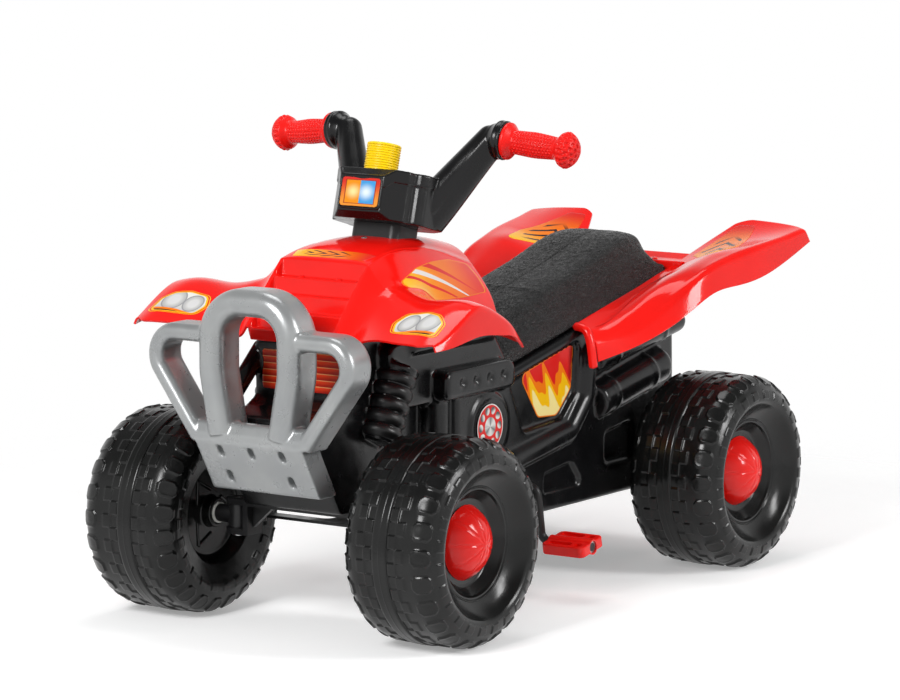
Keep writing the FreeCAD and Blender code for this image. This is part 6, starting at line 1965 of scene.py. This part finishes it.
@dataclass
class Chassis:
    """Chassis moulding with its printed labels and the folds on its shock absorbers."""

    panel_x: float = 97.0
    disc_x: float = 109.0
    disc_radius: float = 31.0
    nose_back: float = -14.0
    fold_count: int = 5
    fold_radius: float = 29.5
    fold_depth: float = 6.5

    def folds(self) -> Skin:
        """Fat round folds about the line of the left moulded shock absorber.

        Returns:
            A tube whose radius swells at each fold.
        """
        top, foot = in_bike(90.0, 72.0, 345.0), in_bike(90.0, 27.0, 249.0)
        length = float(np.linalg.norm(foot - top))
        first, last = 9.0, length - 4.0
        along = np.linspace(first, last, 150)
        wave = np.abs(np.sin(math.pi * self.fold_count * (along - first) / (last - first)))
        path = top + along[:, None] * (foot - top) / length
        return closed_tube(path, self.fold_radius - self.fold_depth * (1.0 - wave**0.55), 48)

    def build(self, shop: Workshop) -> None:
        """Make the folds, the soft moulding and the labels on its sides and nose.

        Args:
            shop: Workshop that finishes the pieces.
        """
        folds = self.folds()
        shop.fit(make_piece("shock_folds", [folds, folds.mirrored()], closed=True), "chassis", BLACK_FRAME)
        SoftMoulding("chassis_shell", "chassis", BLACK_SHELL, 2.6, 7, 0.38).build(shop)
        panel = [(398, 236, 12), (352, 299, 10), (380, 306, 14), (488, 330, 5), (483, 268, 22),
                 (446, 233, 16)]
        label_pair(shop, "side_film", Motif.FLAME, panel, lambda back, up: in_bike(self.panel_x, back, up),
                   (1.0, 0.0, 0.0), turn_right=True, lift=0.6)
        r = self.disc_radius
        disc = [(262 + r * math.cos(turn), 242 + r * math.sin(turn), 0) for turn in full_turn(64)]
        label_pair(shop, "disc_film", Motif.BOLTS, disc, lambda back, up: in_bike(self.disc_x, back, up),
                   (1.0, 0.0, 0.0), lift=0.7)
        nose = [(-66, 314, 4), (66, 314, 4), (66, 366, 4), (-66, 366, 4)]
        Label("nose_film", "chassis", Motif.RIBS, nose, lambda x, up: in_bike(x, self.nose_back, up),
              (0.0, -1.0, 0.0), lift=0.6).build(shop)


@dataclass
class Hardware:
    """Solids that are shown as they are, by finish."""

    steel: str = (
        "kingpins stub_axle_left stub_axle_right axle_nut_front_left axle_nut_front_right rod_clip_left "
        "rod_clip_right rear_axle drive_pin axle_nuts_rear pedal_clip_left pedal_clip_right steering_column "
        "drive_chain rear_sprocket chainwheel")
    dark: str = "bumper_screws cover_screws beam_bolts handlebar_bolt"
    frame: str = "front_axle_beam knuckle_left knuckle_right track_rod chain_cover steering_collar crankshaft"
    nylon: str = (
        "column_bush crank_bushes rear_axle_bushes wheel_bushes_front_left wheel_bushes_front_right "
        "wheel_bushes_rear_right axle_spacers")
    red: str = "pedal_left pedal_right cowl_screws fender_screws"

    def build(self, shop: Workshop) -> None:
        """Paint each solid.

        Args:
            shop: Workshop that holds the solids.
        """
        groups = ((self.steel, ZINC), (self.dark, BLACK_SCREW), (self.frame, BLACK_FRAME),
                  (self.nylon, WHITE_NYLON), (self.red, RED_GLOSS))
        for names, finish in groups:
            for name in names.split():
                shop.paint(shop.nodes[name].data, finish)


# Stage


@dataclass
class Studio:
    """Pale floor that fades into a white backdrop, soft lamps and the camera.

    Lamps are name, place, target, size and power. The focal length is in pixels of the photograph.
    """

    azimuth: float = 34.105
    elevation: float = 7.857
    roll: float = 0.116
    place: tuple[float, float, float] = (3.3525, -4.9998, 1.1553)
    focal: float = 4406.4
    photo_width: float = 900.0
    sensor: float = 36.0
    ambient: float = 0.33
    ceiling: float = 0.25
    paper_glow: float = 0.3
    floor_radius: float = 2600.0
    lamps: tuple[tuple[Any, ...], ...] = (
        ("key", (0.0, -3.3, 2.3), (0.0, -0.1, 0.3), (1.1, 1.2), 100.0),
        ("side", (3.3, 0.7, 1.9), (0.0, 0.0, 0.3), (0.8, 1.5), 72.0),
        ("top", (-0.4, 0.5, 3.0), (0.0, 0.0, 0.2), (1.4, 1.2), 20.0))

    def camera(self) -> None:
        """Put the camera at the photograph's angle and distance."""
        az, el, roll = (math.radians(angle) for angle in (self.azimuth, self.elevation, self.roll))
        back = Vector((math.sin(az) * math.cos(el), -math.cos(az) * math.cos(el), math.sin(el)))
        level = Vector((math.cos(az), math.sin(az), 0.0))
        right = level * math.cos(roll) + back.cross(level) * math.sin(roll)
        axes = Matrix((right, back.cross(right), back)).transposed()
        data = bpy.data.cameras.new("camera")
        data.sensor_width = self.sensor
        data.lens = self.focal / self.photo_width * self.sensor
        data.clip_end = 100.0
        camera = add_object("camera", data)
        camera.matrix_world = Matrix.Translation(self.place) @ axes.to_4x4()
        bpy.context.scene.camera = camera

    def light(self) -> None:
        """Put up soft oblong lamps that look at their targets."""
        for name, where, target, size, power in self.lamps:
            data = bpy.data.lights.new(name, "AREA")
            data.shape = "RECTANGLE"
            data.size, data.size_y = size
            data.energy = power
            lamp = add_object(name, data)
            lamp.location = where
            lamp.rotation_mode = "QUATERNION"
            lamp.rotation_quaternion = (Vector(target) - Vector(where)).to_track_quat("-Z", "Y")

    def world(self) -> None:
        """Even ambient light; the camera and reflections see a white backdrop under a dimmer ceiling."""
        graph = Graph(bpy.data.worlds.new("studio"), "Background")
        way = graph.term("ShaderNodeTexCoord", {}, "Generated")
        height = graph.term("ShaderNodeSeparateXYZ", {0: way}, "Z")
        backdrop = graph.ramp(height, 0.3, 0.75, 1.0, self.ceiling)
        strength = graph.ramp(graph.seen(), 0.0, 1.0, self.ambient, backdrop)
        graph.surface(Color=(1.0, 1.0, 1.0), Strength=strength)
        bpy.context.scene.world = graph.owner

    def floor(self) -> None:
        """Round floor whose edge fades away into the backdrop."""
        reach = np.linspace(0.0, self.floor_radius, 24)[:, None]
        angle = full_turn(96)
        across, along = reach * np.cos(angle), reach * np.sin(angle)
        points = np.stack([across, along, np.full_like(across, -0.2)], axis=-1)
        floor = make_piece("floor", [Skin(points, wrap_columns=True).facing(UPWARDS)])
        graph = Graph(bpy.data.materials.new("floor_paper"))
        far = graph.term("ShaderNodeVectorMath", {0: graph.place()}, "Value", operation="LENGTH")
        graph.surface(
            Base_Color=graph.blend(graph.noise(6.0), (0.86, 0.86, 0.86), (0.88, 0.88, 0.88)),
            Roughness=0.9,
            Specular_IOR_Level=0.1,
            Emission_Color=(1.0, 1.0, 1.0),
            Emission_Strength=graph.seen() * self.paper_glow,
            Alpha=graph.ramp(far, 0.7, 1.5, 1.0, 0.0),
        )
        floor.data.materials.append(graph.owner)

    def build(self) -> None:
        """Set the stage."""
        bpy.context.scene.view_settings.view_transform = "Standard"
        self.camera()
        self.world()
        self.floor()
        self.light()


def main() -> None:
    """Load the solids, dress them and set the stage."""
    logging.basicConfig(level=logging.INFO, format="%(name)s: %(message)s")
    for thing in list(bpy.data.objects):
        bpy.data.objects.remove(thing)
    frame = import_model()
    shop = Workshop(frame)
    Studio().build()
    Hardware().build(shop)
    for name, body, side, back, bore in (
        ("front_left", "wheel_fl", Side.LEFT, 0.0, 10.2),
        ("front_right", "wheel_fr", Side.RIGHT, 0.0, 10.2),
        ("rear_left", "rear_drive", Side.LEFT, 689.0, 6.3),
        ("rear_right", "wheel_rr", Side.RIGHT, 689.0, 10.2),
    ):
        Wheel(name, body, side, back, bore).build(shop)
    FrontCowl().build(shop)
    RearFender().build(shop)
    Seat().build(shop)
    SoftMoulding("bumper", "chassis", SILVER, 1.6, 16, 0.4, PLATE_PLUGS).build(shop)
    HandlebarSet().build(shop)
    Chassis().build(shop)


if __name__ == "__main__":
    main()
